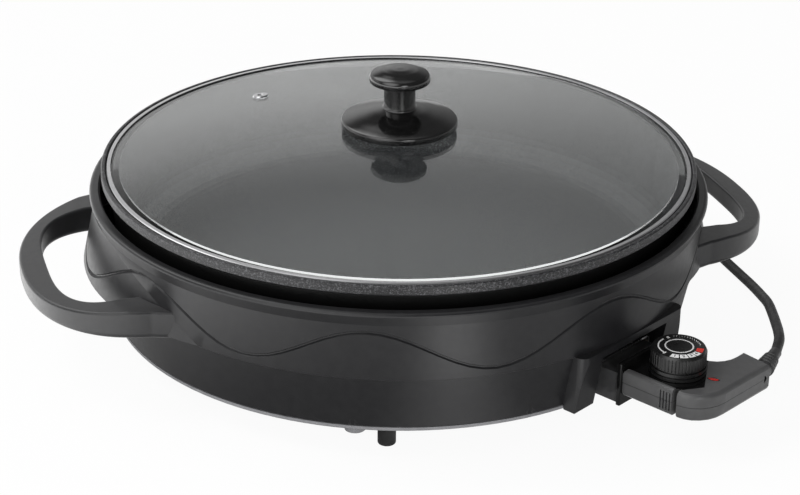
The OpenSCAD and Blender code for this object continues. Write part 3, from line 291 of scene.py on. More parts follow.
# %% [markdown]
# The pan's non-stick coating is dark with fine light speckles, too many to model. Two noise textures of
# different sizes are pushed through steep colour ramps, which leaves separate flecks: only where the noise
# passes a level does one show. The gloss varies too, and a grain makes the coating feel rough.

# %% Speckled coating
fine_scale = 1500
coarse_scale = 620
fleck_level = 0.57
ground = grey(0.010, 0.011)
fleck = grey(0.095, 0.10)

pan_coating = new_finish("pan_coating", ground, 0.4)
fine_flecks = ramp(pan_coating, noise(pan_coating, fine_scale, detail=1.0),
                   [(fleck_level, ground), (fleck_level + 0.05, fleck)])
coarse_flecks = ramp(pan_coating, noise(pan_coating, coarse_scale, detail=1.0),
                     [(fleck_level + 0.06, grey(0)), (fleck_level + 0.10, fleck)])
all_flecks = add_node(pan_coating, "ShaderNodeMix", data_type="RGBA", blend_type="LIGHTEN", Factor=1.0)
join(pan_coating, fine_flecks, all_flecks.inputs["A"])
join(pan_coating, coarse_flecks, all_flecks.inputs["B"])
join(pan_coating, all_flecks.outputs["Result"], shader_of(pan_coating).inputs["Base Color"])
vary_roughness(pan_coating, 900, low=0.30, high=0.45)
add_grain(pan_coating, fine_scale, strength=0.25)
print("coating", pan_coating.name)

# %% [markdown]
# Below its rim the pan's outside is painted near-black as painted shade, so that the gap round the pan looks
# deep and dark, as it does in shade. A second material would need faces of its own, and the solid's mesh
# stays as
# it is. So the place decides: what is further out than the pan's inside and lower than its rim is painted
# black.

# %% Painted shade below the rim
painted_shade_top = rim_z - 0.0072
painted_shade_inner = 0.1905


def vector_step(owner, operation, *terms):
    """One step of arithmetic on places or directions, which gives a vector or a number."""
    node = feed(owner, add_node(owner, "ShaderNodeVectorMath", operation=operation), terms)
    return node.outputs["Value" if operation in ("LENGTH", "DISTANCE", "DOT_PRODUCT") else "Vector"]


pan_place = object_place(pan_coating)
from_axis = vector_step(pan_coating, "SUBTRACT", pan_place, (0, pan_y, 0))
from_axis = vector_step(pan_coating, "MULTIPLY", from_axis, (1, 1, 0))
pan_radius = vector_step(pan_coating, "LENGTH", from_axis)
painted_shade_out = number_step(pan_coating, "GREATER_THAN", pan_radius, painted_shade_inner)
painted_shade_low = number_step(pan_coating, "LESS_THAN", parts_of(pan_coating, pan_place)["Z"], painted_shade_top)
# painted shade: near-black on the pan's outside below the rim, where the gap round the pan lies in shade
lay_over(pan_coating, number_step(pan_coating, "MULTIPLY", painted_shade_out, painted_shade_low), grey(0.003))
print("painted_shade below z =", round(painted_shade_top, 4))

# %% [markdown]
# The metals. The lid's rim is a polished steel channel, the screws and the probe are plain bright steel,
# the contacts are brass, and the base plate is painted. Metal shows its surroundings, so what tells one from
# another is colour and gloss. Brushing is noise stretched along one direction.

# %% Metals and paint
brush_scale = 220
metal_grain = (1800, 0.04)


def metal(name, colour, rough, stretch=(1, 1, 1)):
    material = new_finish(name, colour, rough[1], metallic=1.0)
    vary_roughness(material, brush_scale, *rough, stretch)
    add_grain(material, *metal_grain)
    return material


rim_steel = metal("rim_steel", grey(0.64, 0.65), (0.12, 0.22), stretch=(1, 1, 12))
screw_steel = metal("screw_steel", grey(0.62, 0.63), (0.22, 0.32))
contact_brass = metal("contact_brass", (0.72, 0.58, 0.33), (0.22, 0.32))
element_sheath = metal("element_sheath", (0.30, 0.28, 0.26), (0.35, 0.50))
reflector_sheet = metal("reflector_sheet", grey(0.70, 0.71), (0.18, 0.28))
base_paint = plastic("base_paint", grey(0.20, 0.21), grey(0.24, 0.25), (0.35, 0.45), (1800, 0.10))
bush_ceramic = plastic("bush_ceramic", (0.72, 0.70, 0.64), (0.78, 0.76, 0.70), (0.25, 0.35), (1200, 0.08))
print("metals ready")

# %% [markdown]
# The lid is clear tempered glass. A Principled shader with full transmission bends what is seen through
# it. Lamps can't shine through such a shader without slow caustics, so light alone passes through a
# Transparent shader, chosen for shadow rays. The faint green of thick glass comes from its colour.

# %% Glass and lens
glass_ior = 1.47


def mix_shaders(owner, share, first, second):
    return feed(owner, add_node(owner, "ShaderNodeMixShader"), (share, first, second)).outputs["Shader"]


def clear_glass(name, colour, roughness):
    material = new_finish(name, colour, roughness)
    shader = shader_of(material)
    shader.inputs["Transmission Weight"].default_value = 1.0
    shader.inputs["IOR"].default_value = glass_ior
    shadow_ray = add_node(material, "ShaderNodeLightPath").outputs["Is Shadow Ray"]
    passing = add_node(material, "ShaderNodeBsdfTransparent", Color=(*colour, 1))
    surface = mix_shaders(material, shadow_ray, shader.outputs["BSDF"], passing.outputs["BSDF"])
    join(material, surface, material.node_tree.nodes["Material Output"].inputs["Surface"])
    return material


lid_glass = clear_glass("clear_lid_glass", (0.955, 0.975, 0.97), roughness=0.0)
vary_roughness(lid_glass, 12, low=0.0, high=0.012)
pilot_red = plastic("pilot_red", (0.42, 0.012, 0.008), (0.50, 0.018, 0.012), (0.10, 0.18), (1200, 0.04))
print("glass ready")

# %% [markdown]
# The moulded pieces of the controller have square corners in the solids, where real mouldings have a small
# radius that catches the light. The shader could fake it, but a true edge also shows in the outline. A copy
# of such a solid, its doubled corners merged and its flat faces joined, takes a Bevel modifier, and Weighted
# Normal keeps the large faces evenly lit. The two turned pieces of the knob take no bevel: their copies are
# only shaded smooth, so that no rings show. A copy stands in its solid's place.

# %% Copies with soft edges
weld_gap = 2e-6
speck_size = 1e-6
flat_angle = math.radians(0.4)
bevel_angle = math.radians(35)


def body_of_node(name):
    for body, members in frame["record"]["behaviour"]["bodies"].items():
        if name in members:
            return body


def place_mesh(name, mesh, body):
    piece = bpy.data.objects.new(name, mesh)
    bpy.context.scene.collection.objects.link(piece)
    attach(piece, body)
    return piece


def even_light(piece):
    piece.modifiers.new("even_light", "WEIGHTED_NORMAL").keep_sharp = True


def smooth_copy(name, material, sharp=40.0, bevel=0.0):
    """A smooth-shaded copy of a solid. With a bevel, its flat faces are joined and its edges rounded."""
    mesh = nodes[name].data.copy()
    work = bmesh.new()
    work.from_mesh(mesh)
    bmesh.ops.remove_doubles(work, verts=work.verts, dist=weld_gap)
    bmesh.ops.dissolve_degenerate(work, edges=work.edges, dist=speck_size)
    if bevel:
        bmesh.ops.dissolve_limit(work, angle_limit=flat_angle, verts=work.verts, edges=work.edges)
    for face in work.faces:
        face.smooth = True
    work.to_mesh(mesh)
    work.free()
    mesh.materials.clear()
    mesh.materials.append(material)
    mesh.set_sharp_from_angle(angle=math.radians(sharp))
    piece = place_mesh(name + "_finish", mesh, body_of_node(name))
    if bevel:
        edge = piece.modifiers.new("soft_edges", "BEVEL")
        edge.width = bevel
        edge.segments = 2
        edge.limit_method = "ANGLE"
        edge.angle_limit = bevel_angle
        edge.use_clamp_overlap = True
    even_light(piece)
    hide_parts(name)
    return piece


print("copies take bevels over", round(math.degrees(bevel_angle)), "degrees")

# %% [markdown]
# All other solids keep the shape and the exact shading that they arrive with, and only get a finish in their
# material slots. One table says which piece has which finish, so that it can be read at a glance.

# %% Finish the solids
def repaint(name, material):
    for slot in nodes[name].material_slots:
        slot.material = material
    return nodes[name]


plain_finishes = {
    "housing": housing_plastic, "base_plate": base_paint, "feet": foot_rubber, "pan": pan_coating,
    "heating_element": element_sheath, "contact_pins": screw_steel, "pin_bushes": bush_ceramic,
    "reflector": reflector_sheet, "spacers": screw_steel, "socket_guard": screw_steel,
    "earth_spring": contact_brass, "handle_screws": screw_steel, "handle_washers": screw_steel,
    "lid_glass": lid_glass, "lid_rim": rim_steel, "steam_vent": rim_steel, "knob_gasket": foot_rubber,
    "knob_disc": knob_plastic, "knob": knob_plastic, "knob_screw": screw_steel, "knob_washer": screw_steel,
    "upper_shell": controller_plastic, "lower_shell": controller_plastic, "deck_panel": deck_plastic,
    "nose": nose_plastic, "flange": deck_plastic, "probe": screw_steel,
    "contact_sleeves": contact_brass, "thermostat": screw_steel,
    "strain_relief": relief_rubber, "cord_tie": foot_rubber, "plug": plug_plastic, "plug_pins": contact_brass,
    "plug_earth": contact_brass, "dial": dial_plastic, "dial_cap": dial_plastic, "spindle": screw_steel,
    "base_screws": screw_steel, "foot_screws": screw_steel, "clamp_screws": screw_steel,
    "shell_screws": screw_steel,
}
bevels = {"upper_shell": 0.5 * mm, "lower_shell": 0.5 * mm, "nose": 0.6 * mm, "flange": 0.6 * mm}
turned = ("knob", "knob_disc")
for name, material in plain_finishes.items():
    if name in bevels:
        smooth_copy(name, material, bevel=bevels[name])
    elif name in turned:
        smooth_copy(name, material, sharp=34.0)
    else:
        repaint(name, material)

# %% [markdown]
# Several pieces below are made as lofts: rings of points, one after the other, joined by faces. A loft that
# ends is closed by its first and last ring, and one that comes round again has no ends. The normals are
# worked out last, so that all faces point outwards.

# %% Loft helpers
def skin_rings(work, rings, loop=False):
    rows = [[work.verts.new(p) for p in ring] for ring in rings]
    count = len(rows[0])
    for first, second in zip(rows, rows[1:] + rows[:1] if loop else rows[1:]):
        for k in range(count):
            work.faces.new((first[k], first[(k + 1) % count], second[(k + 1) % count], second[k]))
    if not loop:
        work.faces.new(rows[0][::-1])
        work.faces.new(rows[-1])


def close_mesh(work, name, material):
    bmesh.ops.recalc_face_normals(work, faces=work.faces)
    mesh = bpy.data.meshes.new(name)
    work.to_mesh(mesh)
    work.free()
    mesh.materials.append(material)
    return mesh


print("loft helpers ready")

# %% [markdown]
# The handles are loops moulded in one with two studs each. The top is a flat band with crisp edges, and the
# underside is rounder, so that it sits well in the hand. Each is lofted here: a section with four rounded
# corners is placed at many stations between two curves, the outer one rounder than the finger gap's. The
# curves are superellipses. A curve with a bevel would be quicker, but couldn't change its section on the way.

# %% Curves of the handles
handle_low, handle_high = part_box("right_handle")
handle_reach = handle_high.x / mm
handle_half = 98.5
outer_middle = 170
outer_power = 2.3
outer_sweep = 80
gap_half = 72.0
gap_middle = 195
gap_power = 3.0
gap_sweep = 90
bar_width = 16.5


def oval_point(centre, reach, half, power, angle):
    c = abs(math.cos(math.radians(angle)))
    s = math.sin(math.radians(angle))
    return Vector((centre + reach * c ** (2 / power), half * math.copysign(abs(s) ** (2 / power), s)))


def handle_outer(t):
    return oval_point(outer_middle, handle_reach - outer_middle, handle_half, outer_power, outer_sweep * t)


def handle_inner(t):
    return oval_point(gap_middle, handle_reach - bar_width - gap_middle, gap_half, gap_power, gap_sweep * t)


print("handles reach", round(handle_reach, 1), "mm and are", 2 * handle_half, "mm wide")

# %% [markdown]
# One section of the handle's bar. Its upper corners are small and its lower ones large. The top falls
# towards the grip, and the underside rises a little near the wall. Points that would come out on the wall's
# inner side are moved back to one radius inside the wall, so that no end of the bar shows there.

# %% Section of the handles
upper_corner = 1.9
lower_corner = 4.2
corner_steps = 6
top_at_wall = handle_high.z / mm
top_fall = 7.0
under_at_grip = handle_low.z / mm
under_rise = 2
fall_start = 205.0
wall_radius = 200.8


def grip_share(x):
    """0 where the bar leaves the wall, 1 at the grip's far side."""
    return (x - fall_start) / (handle_reach - fall_start)


def bar_ring(outer, inner):
    width = (outer - inner).length
    across = (outer - inner) / width
    ring = []
    for outside, above, start in [(0, 0, 180), (1, 0, 270), (1, 1, 0), (0, 1, 90)]:
        corner = upper_corner if above else lower_corner
        for k in range(corner_steps):
            a = math.radians(start + 90 / (corner_steps - 1) * k)
            along = (width - corner if outside else corner) + corner * math.cos(a)
            spot = inner + across * along
            if above:
                z = top_at_wall - top_fall * max(0, grip_share(spot.x)) - corner
            else:
                z = under_at_grip + under_rise * max(0, min(1, 1 - grip_share(spot.x))) + corner
            if spot.length < wall_radius:
                spot = spot * (wall_radius / spot.length)
            ring.append(Vector((spot.x, spot.y, z + corner * math.sin(a))))
    return ring


print("a section has", len(bar_ring(handle_outer(0), handle_inner(0))), "points")

# %% [markdown]
# Each handle is lofted from one root through the grip to the other. One more section at each end carries the
# root into the wall. The two studs are short turned pins with a small lead-in.

# %% Handles
stations = 96
root_depth = 16
root_spread = 6
handle_crease = math.radians(50)
stud_inset = 14.5
stud_sides = 24
stud_profile = [(179.5, 4.4), (180.1, 5.0), (206.0, 5.0)]
stud_low, stud_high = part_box("handle_screws")
stud_z = (stud_low.z + stud_high.z) / 2 / mm


def root_ring(t):
    outer = handle_outer(t) + Vector((-root_depth, t * root_spread))
    return bar_ring(outer, handle_inner(t) + Vector((-root_depth, 0)))


def stud_ring(x, radius, y):
    turns = [2 * math.pi * k / stud_sides for k in range(stud_sides)]
    return [Vector((x, y + radius * math.cos(a), stud_z + radius * math.sin(a))) for a in turns]


def make_handle(name, turn):
    steps = [-1 + 2 * k / stations for k in range(stations + 1)]
    bar = [bar_ring(handle_outer(t), handle_inner(t)) for t in steps]
    work = bmesh.new()
    skin_rings(work, [root_ring(-1), *bar, root_ring(1)])
    for stud_y in (stud_inset - handle_half, handle_half - stud_inset):
        skin_rings(work, [stud_ring(x, radius, stud_y) for x, radius in stud_profile])
    place = Matrix.Translation((0, pan_y, 0)) @ Matrix.Scale(mm, 4) @ Matrix.Rotation(turn, 4, "Z")
    bmesh.ops.transform(work, matrix=place, verts=work.verts)
    for face in work.faces:
        face.smooth = True
    mesh = close_mesh(work, name + "_finish", handle_plastic)
    mesh.set_sharp_from_angle(angle=handle_crease)
    piece = place_mesh(name + "_finish", mesh, "base")
    even_light(piece)
    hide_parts(name)
    return piece


for name, turn in [("left_handle", math.pi), ("right_handle", 0)]:
    make_handle(name, turn)

# %% [markdown]
# The lead is one tube of 7 mm. It leaves the strain relief, sinks to the table, runs along the housing's
# side and is wound into a flat coil of two layers behind the pan. A simulated rope would find a place of its
# own, but a route by points is the same on each run. So its middle line is worked out from a few chosen
# points and a spiral, in the same way as the solids were, and Geometry Nodes sweep a circle on it.

# %% Route of the lead
cord_width = 7.0
cord_clear = 0.9
cord_floor = cord_width / 2 + cord_clear
socket_turn = math.radians(-60)
relief_tilt = math.radians(16)
relief_root = (267, 51)
relief_length = 26
relief_height = 36.5


def from_socket(x, y, z):
    """A place given along and across the controller, as a place in the frame. Both in millimetres."""
    c, s = math.cos(socket_turn), math.sin(socket_turn)
    return Vector((x * c - y * s, x * s + y * c + pan_y * 1000, z))


def smooth_line(points, steps):
    """A curve through the points, with this many steps between each two."""
    line = []
    last = len(points) - 1
    for i in range(last):
        a, b = points[max(i - 1, 0)], points[i]
        c, d = points[i + 1], points[min(i + 2, last)]
        m0 = (c - a) / (1 if i == 0 else 2)
        m1 = (d - b) / (1 if i + 2 > last else 2)
        for k in range(steps):
            t = k / steps
            line.append(b * (1 + 2 * t) * (1 - t) ** 2 + m0 * t * (1 - t) ** 2
                        + c * t * t * (3 - 2 * t) + m1 * t * t * (t - 1))
    line.append(points[last])
    return line


cord_exit = from_socket(relief_root[0] - relief_length * math.sin(relief_tilt),
                        relief_root[1] + relief_length * math.cos(relief_tilt), relief_height)
free_points = [
    cord_exit, (207, -153.5, 35), (214.8, -137.5, 32), (222, -120.5, 28.5), (231.5, -97, 23.5),
    (240.5, -73, 18.5), (247, -50, 13), (252, -27, 8.5), (254.5, -5, 5.8), (255.5, 20, 4.4),
    (255.5, 50, 4.4), (254.5, 80, 4.4), (253, 110, 4.4), (251, 140, 4.4), (249, 170, 4.4),
    (247, 200, 4.4), (246, 229, 4.4),
]
free_line = smooth_line([Vector(p) for p in free_points], steps=5)
print("free stretch in", len(free_line), "points")

# %% [markdown]
# The coil goes inwards on the table for half its turns, climbs one width and comes out again on top. Its end
# steps down beside it and rises into the plug.

# %% Coil and tail of the lead
coil_middle = (199.0, 236.0)
coil_outer = 47.0
coil_pitch = 7.6
coil_turns = 3.25
coil_steps = 48


def coil_point(u):
    radius = coil_outer - coil_pitch * (u if u < coil_turns / 2 else coil_turns - u)
    climb = min(max((u - coil_turns / 2) * 2 + 0.5, 0), 1)
    turn = 2 * math.pi * u
    return Vector((coil_middle[0] + radius * math.cos(turn), coil_middle[1] + radius * math.sin(turn),
                   cord_floor + coil_pitch * climb))


coil_line = [coil_point(k / coil_steps) for k in range(1, int(coil_turns * coil_steps) + 1)]
coil_end = Vector((coil_middle[0] - cord_width, coil_middle[1] + coil_outer, cord_floor + coil_pitch))
tail_points = [coil_end, coil_end + Vector((-9, 0, 0.7)), coil_end + Vector((-19, 0, 3.25)),
               coil_end + Vector((-28, 0, 5.8)), Vector((coil_end.x - 37, coil_end.y, 18.5))]
lead_line = [p * mm for p in free_line + coil_line + smooth_line(tail_points, steps=4)]
lead_length = sum((b - a).length for a, b in zip(lead_line, lead_line[1:]))
print("lead", round(lead_length, 3), "m in", len(lead_line), "points")

# %% [markdown]
# Geometry Nodes trees are built by a script here, one socket and one node at a time. This one turns a
# curve into a tube: Curve Circle gives the section, Curve to Mesh sweeps it and Set Material colours it. A
# curve's own bevel would do too, but the tree closes the ends, and its sizes have names.

# %% Sweep tree for the lead
def new_tree(name, inputs):
    tree = bpy.data.node_groups.new(name, "GeometryNodeTree")
    tree.is_modifier = True
    tree.interface.new_socket("Geometry", in_out="INPUT", socket_type="NodeSocketGeometry")
    for label, kind in inputs:
        tree.interface.new_socket(label, in_out="INPUT", socket_type="NodeSocket" + kind)
    tree.interface.new_socket("Geometry", in_out="OUTPUT", socket_type="NodeSocketGeometry")
    return tree, tree.nodes.new("NodeGroupInput"), tree.nodes.new("NodeGroupOutput")


def link_rows(tree, rows):
    for source, output, target, entry in rows:
        tree.links.new(source.outputs[output], target.inputs[entry])


def apply_tree(thing, tree, values):
    """Run the tree on an object and give the result as a plain mesh. The object is then removed."""
    modifier = thing.modifiers.new(tree.name, "NODES")
    modifier.node_group = tree
    for item in tree.interface.items_tree:
        if item.item_type == "SOCKET" and item.in_out == "INPUT" and item.name in values:
            modifier[item.identifier] = values[item.name]
    bpy.context.view_layer.update()
    shape = thing.evaluated_get(bpy.context.evaluated_depsgraph_get())
    mesh = bpy.data.meshes.new_from_object(shape)
    thing.modifiers.remove(modifier)
    bpy.data.objects.remove(thing)
    return mesh


sweep_tree, sweep_in, sweep_out = new_tree("sweep_tube", [
    ("Radius", "Float"), ("Sides", "Int"), ("Finish", "Material")])
section = sweep_tree.nodes.new("GeometryNodeCurvePrimitiveCircle")
sweep = sweep_tree.nodes.new("GeometryNodeCurveToMesh")
sweep.inputs["Fill Caps"].default_value = True
soften = sweep_tree.nodes.new("GeometryNodeSetShadeSmooth")
realize = sweep_tree.nodes.new("GeometryNodeRealizeInstances")
paint = sweep_tree.nodes.new("GeometryNodeSetMaterial")
link_rows(sweep_tree, [
    (sweep_in, "Radius", section, "Radius"),
    (sweep_in, "Sides", section, "Resolution"),
    (sweep_in, "Geometry", sweep, "Curve"),
    (section, "Curve", sweep, "Profile Curve"),
    (sweep, "Mesh", soften, "Geometry"),
    (soften, "Geometry", realize, "Geometry"),
    (realize, "Geometry", paint, "Geometry"),
    (sweep_in, "Finish", paint, "Material"),
    (paint, "Geometry", sweep_out, "Geometry"),
])
print("sweep tree has", len(sweep_tree.nodes), "nodes")

# %% [markdown]
# The line becomes a curve, the tree sweeps it, and the result is a plain closed mesh. It stands for the
# three solids of the lead.

# %% The lead
def poly_curve(name, points):
    data = bpy.data.curves.new(name, "CURVE")
    data.dimensions = "3D"
    spline = data.splines.new("POLY")
    spline.points.add(len(points) - 1)
    for spot, p in zip(spline.points, points):
        spot.co = (*p, 1)
    line = bpy.data.objects.new(name, data)
    bpy.context.scene.collection.objects.link(line)
    return line


lead_mesh = apply_tree(poly_curve("lead_route", lead_line), sweep_tree, {
    "Radius": cord_width / 2 * mm, "Sides": 16, "Finish": cord_rubber})
lead = place_mesh("lead", lead_mesh, "controller")
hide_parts("cord", "cord_coil", "cord_tail")
print("lead tube has", len(lead.data.polygons), "faces")

# %% [markdown]
# The dial's print is a ring, an arrow, four white fields with a figure each and a red one. On the real dial
# this is ink, and here it is a layer a few hundredths of a millimetre thick. The small ticks repeat round the
# dial, so Geometry Nodes set one tick on each point of an arc: how many there are is then one number.

# %% Ticks on an arc
ink_white = plastic("ink_white", grey(0.72), grey(0.80), (0.40, 0.50), (2600, 0.03))
ink_black = plastic("ink_black", grey(0.010), grey(0.016), (0.40, 0.50), (2600, 0.03))
ink_red = plastic("ink_red", (0.55, 0.03, 0.02), (0.62, 0.04, 0.03), (0.40, 0.50), (2600, 0.03))

tick_tree, tick_in, tick_out = new_tree("ticks_on_arc", [
    ("Radius", "Float"), ("Start", "Float"), ("Sweep", "Float"), ("Count", "Int"), ("Size", "Vector"),
    ("Finish", "Material")])
tick_arc = tick_tree.nodes.new("GeometryNodeCurveArc")
tick_points = tick_tree.nodes.new("GeometryNodeCurveToPoints")
tick_points.mode = "COUNT"
tick_box = tick_tree.nodes.new("GeometryNodeMeshCube")
tick_set = tick_tree.nodes.new("GeometryNodeInstanceOnPoints")
tick_real = tick_tree.nodes.new("GeometryNodeRealizeInstances")
tick_paint = tick_tree.nodes.new("GeometryNodeSetMaterial")
link_rows(tick_tree, [
    (tick_in, "Radius", tick_arc, "Radius"),
    (tick_in, "Start", tick_arc, "Start Angle"),
    (tick_in, "Sweep", tick_arc, "Sweep Angle"),
    (tick_arc, "Curve", tick_points, "Curve"),
    (tick_in, "Count", tick_points, "Count"),
    (tick_in, "Size", tick_box, "Size"),
    (tick_points, "Points", tick_set, "Points"),
    (tick_points, "Rotation", tick_set, "Rotation"),
    (tick_box, "Mesh", tick_set, "Instance"),
    (tick_set, "Instances", tick_real, "Geometry"),
    (tick_real, "Geometry", tick_paint, "Geometry"),
    (tick_in, "Finish", tick_paint, "Material"),
    (tick_paint, "Geometry", tick_out, "Geometry"),
])
print("tick tree has", len(tick_tree.nodes), "nodes")

# %% [markdown]
# Each mark is drawn flat about the dial's middle, with the side that faces the reader at the bottom, and
# then turned to where the reader stands. Ring, arrow and fields are all bands between two radii.

# %% Bands for the dial
ink_t = 0.05 * mm
reader_turn = azimuth
dial_low, dial_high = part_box("dial")
dial_middle = (dial_low + dial_high) / 2
dial_top = dial_high.z


def to_dial(mesh):
    turn = Matrix.Rotation(reader_turn, 4, "Z")
    mesh.transform(Matrix.Translation((dial_middle.x, dial_middle.y, dial_top)) @ turn)
    return mesh


def band(name, inner, outer, start, end, material, steps):
    """A flat closed band between two radii, from one angle to another, in degrees."""
    whole = end - start >= 360
    corners = [(inner, 0), (outer, 0), (outer, ink_t), (inner, ink_t)]
    rings = []
    for k in range(steps + (0 if whole else 1)):
        a = math.radians(start + (end - start) * k / steps)
        rings.append([(r * math.cos(a), r * math.sin(a), z) for r, z in corners])
    work = bmesh.new()
    skin_rings(work, rings, loop=whole)
    return to_dial(close_mesh(work, name, material))


print("dial's middle", [round(v, 4) for v in dial_middle], "top", round(dial_top, 4))

# %% [markdown]
# Numbers could be cut from bands too, but the built-in font has them ready. A text is given a thickness and
# turned into a closed mesh before it takes its place.

# %% Numbers for the dial
mark_radius = 13.3 * mm
figure_size = 3.4 * mm
boldness = 0.10 * mm


def number_mesh(text, angle, ink):
    letters = bpy.data.curves.new("number_" + text, "FONT")
    letters.body = text
    letters.size = figure_size
    letters.extrude = ink_t / 2
    letters.offset = boldness
    letters.align_x = "CENTER"
    letters.align_y = "CENTER"
    holder = bpy.data.objects.new("number_" + text, letters)
    bpy.context.scene.collection.objects.link(holder)
    bpy.context.view_layer.update()
    mesh = bpy.data.meshes.new_from_object(holder.evaluated_get(bpy.context.evaluated_depsgraph_get()))
    bpy.data.objects.remove(holder)
    turn = math.radians(angle)
    place = Vector((math.cos(turn), math.sin(turn), 0)) * mark_radius + Vector((0, 0, ink_t / 2))
    mesh.transform(Matrix.Translation(place) @ Matrix.Rotation(turn + math.pi / 2, 4, "Z"))
    mesh.materials.clear()
    mesh.materials.append(ink)
    return to_dial(mesh)


zero = number_mesh("0", 115, ink_white)
print("a nought has", len(zero.polygons), "faces")

# %% [markdown]
# All white marks make one piece, and the black figures lie a little higher, on the white fields. Ring and red
# mark are pieces of their own, because a piece has one finish, and the ring stands higher, on the cap.

# %% Print on the dial
weld_ink = 1e-7
figure_lift = 0.04 * mm
ring_lift = 0.3 * mm


def lift(mesh, height):
    mesh.transform(Matrix.Translation((0, 0, height)))
    return mesh


def print_piece(name, meshes):
    """Join the meshes into one closed piece that turns with the dial."""
    work = bmesh.new()
    for mesh in meshes:
        work.from_mesh(mesh)
    bmesh.ops.remove_doubles(work, verts=work.verts, dist=weld_ink)
    piece = place_mesh(name, close_mesh(work, name, meshes[0].materials[0]), "dial")
    return piece


tick_holder = bpy.data.objects.new("ticks", bpy.data.meshes.new("ticks"))
bpy.context.scene.collection.objects.link(tick_holder)
tick_mesh = apply_tree(tick_holder, tick_tree, {
    "Radius": 13.2 * mm, "Start": math.radians(8), "Sweep": math.radians(90), "Count": 13,
    "Size": (0.45 * mm, 1.7 * mm, ink_t), "Finish": ink_white})
ticks = to_dial(lift(tick_mesh, ink_t / 2))
arrow_line = band("arrow_line", 12.5 * mm, 13.4 * mm, 132, 218, ink_white, 32)
arrow_head = band("arrow_head", 11.7 * mm, 14.2 * mm, 217, 222, ink_white, 4)
fields = [band("field", 11.1 * mm, 15.5 * mm, start, end, ink_white, 8)
          for start, end in [(241, 262), (265, 285), (288, 305), (308, 323)]]
dial_print = print_piece("dial_print", [ticks, zero, arrow_line, arrow_head, *fields])
print_piece("dial_figures", [lift(number_mesh(text, angle, ink_black), figure_lift)
                             for text, angle in [("1", 251.5), ("2", 275), ("3", 296.5), ("4", 315.5)]])
print_piece("dial_ring", [lift(band("thin_ring", 8.2 * mm, 9.1 * mm, 0, 360, ink_white, 72), ring_lift)])
print_piece("dial_red_mark", [band("red_mark", 10.9 * mm, 15.3 * mm, 328, 349, ink_red, 12)])
print("dial print", len(dial_print.data.polygons), "faces")

# %% [markdown]
# The pilot light shows through a small almond-shaped window of red plastic, set in the grip's flat top. A
# squeezed sphere would have no points at its ends. So points on two arcs give its outline, smaller outlines
# above it make a soft swelling, and a slightly larger black one round it is the shadow gap that frames it.

# %% Pilot window
lens_low, lens_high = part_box("pilot_lens")
lens_middle = (lens_low + lens_high) / 2
lens_half = 3.5 * mm
lens_turn = Matrix.Rotation(azimuth - math.radians(21), 3, "Z")
lens_points = 28
far_bow = 1.1 * mm
near_bow = 1.75 * mm
tip_power = 0.25
grip_top = lens_high.z


def almond(share, height):
    outline = []
    for k in range(lens_points):
        a = 2 * math.pi * k / lens_points
        bow = far_bow if math.sin(a) > 0 else near_bow
        side = bow * math.sin(a) * abs(math.sin(a)) ** tip_power
        spot = Vector((lens_half * math.cos(a), side, 0)) * share
        spot.rotate(lens_turn)
        outline.append((lens_middle.x + spot.x, lens_middle.y + spot.y, height))
    return outline


def almond_piece(name, levels, material):
    work = bmesh.new()
    skin_rings(work, [almond(share, height) for height, share in levels])
    piece = place_mesh(name, close_mesh(work, name, material), "controller")
    return piece


almond_piece("window_bed", [(grip_top - 1.0 * mm, 1.10), (grip_top + 0.06 * mm, 1.22)],
             deck_plastic)
pilot_window = almond_piece("pilot_window", [
    (lens_low.z, 0.5), (grip_top - 0.5 * mm, 0.7), (grip_top + 0.10 * mm, 1.0), (grip_top + 0.28 * mm, 0.74),
    (grip_top + 0.33 * mm, 0.4)], pilot_red)
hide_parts("pilot_lens")
print("pilot window at", [round(v, 4) for v in lens_middle])

# %% [markdown]
# The floor is white to the camera and through the glass, but only for the most part: a small share of it is
# an ordinary lit surface, so the soft shadow under the skillet stays. Plain white would also lie on the dark
# wall as one dull band. So a mirror ray sees a glow that is bright on the left, has one brighter strip near
# the middle and is weak close to the skillet, which gives the wall its long soft gleams.

# %% Floor
floor_size = 8
white_share = 0.94
side_edges = (-0.36, -0.15)
side_bright = 1.9
side_dim = 0.62
strip_middle = -0.018
strip_half = 0.07
strip_bright = 1.8
near_edges = (0.23, 0.33)
near_dim = 0.40


def seen_plainly(owner, rays):
    """1 for what the camera sees, straight or through the glass."""
    return number_step(owner, "MAXIMUM", rays["Is Camera Ray"], rays["Is Transmission Ray"])


floor_finish = new_finish("floor_finish", grey(0.86), 0.9)
floor_rays = add_node(floor_finish, "ShaderNodeLightPath").outputs
floor_white = add_node(floor_finish, "ShaderNodeEmission", Strength=1.0)
floor_share = seen_plainly(floor_finish, floor_rays)
floor_share = number_step(floor_finish, "MULTIPLY", floor_share, white_share)
plain_floor = mix_shaders(floor_finish, floor_share, shader_of(floor_finish).outputs["BSDF"],
                          floor_white.outputs["Emission"])

floor_place = object_place(floor_finish)
floor_x = parts_of(floor_finish, floor_place)["X"]
side_glow = slope(floor_finish, floor_x, *side_edges, side_bright, side_dim)
off_strip = number_step(floor_finish, "SUBTRACT", floor_x, strip_middle)
off_strip = number_step(floor_finish, "ABSOLUTE", off_strip)
strip_glow = slope(floor_finish, off_strip, strip_half, 0.0, 0.0, strip_bright)
from_pan = vector_step(floor_finish, "DISTANCE", floor_place, (0, pan_y, 0))
near_fade = slope(floor_finish, from_pan, *near_edges, near_dim, 1.0)
glow = number_step(floor_finish, "ADD", side_glow, strip_glow)
glow = number_step(floor_finish, "MULTIPLY", glow, near_fade)
floor_glow = add_node(floor_finish, "ShaderNodeEmission")
join(floor_finish, glow, floor_glow.inputs["Strength"])
floor_surface = mix_shaders(floor_finish, floor_rays["Is Glossy Ray"], plain_floor,
                            floor_glow.outputs["Emission"])
join(floor_finish, floor_surface, floor_finish.node_tree.nodes["Material Output"].inputs["Surface"])

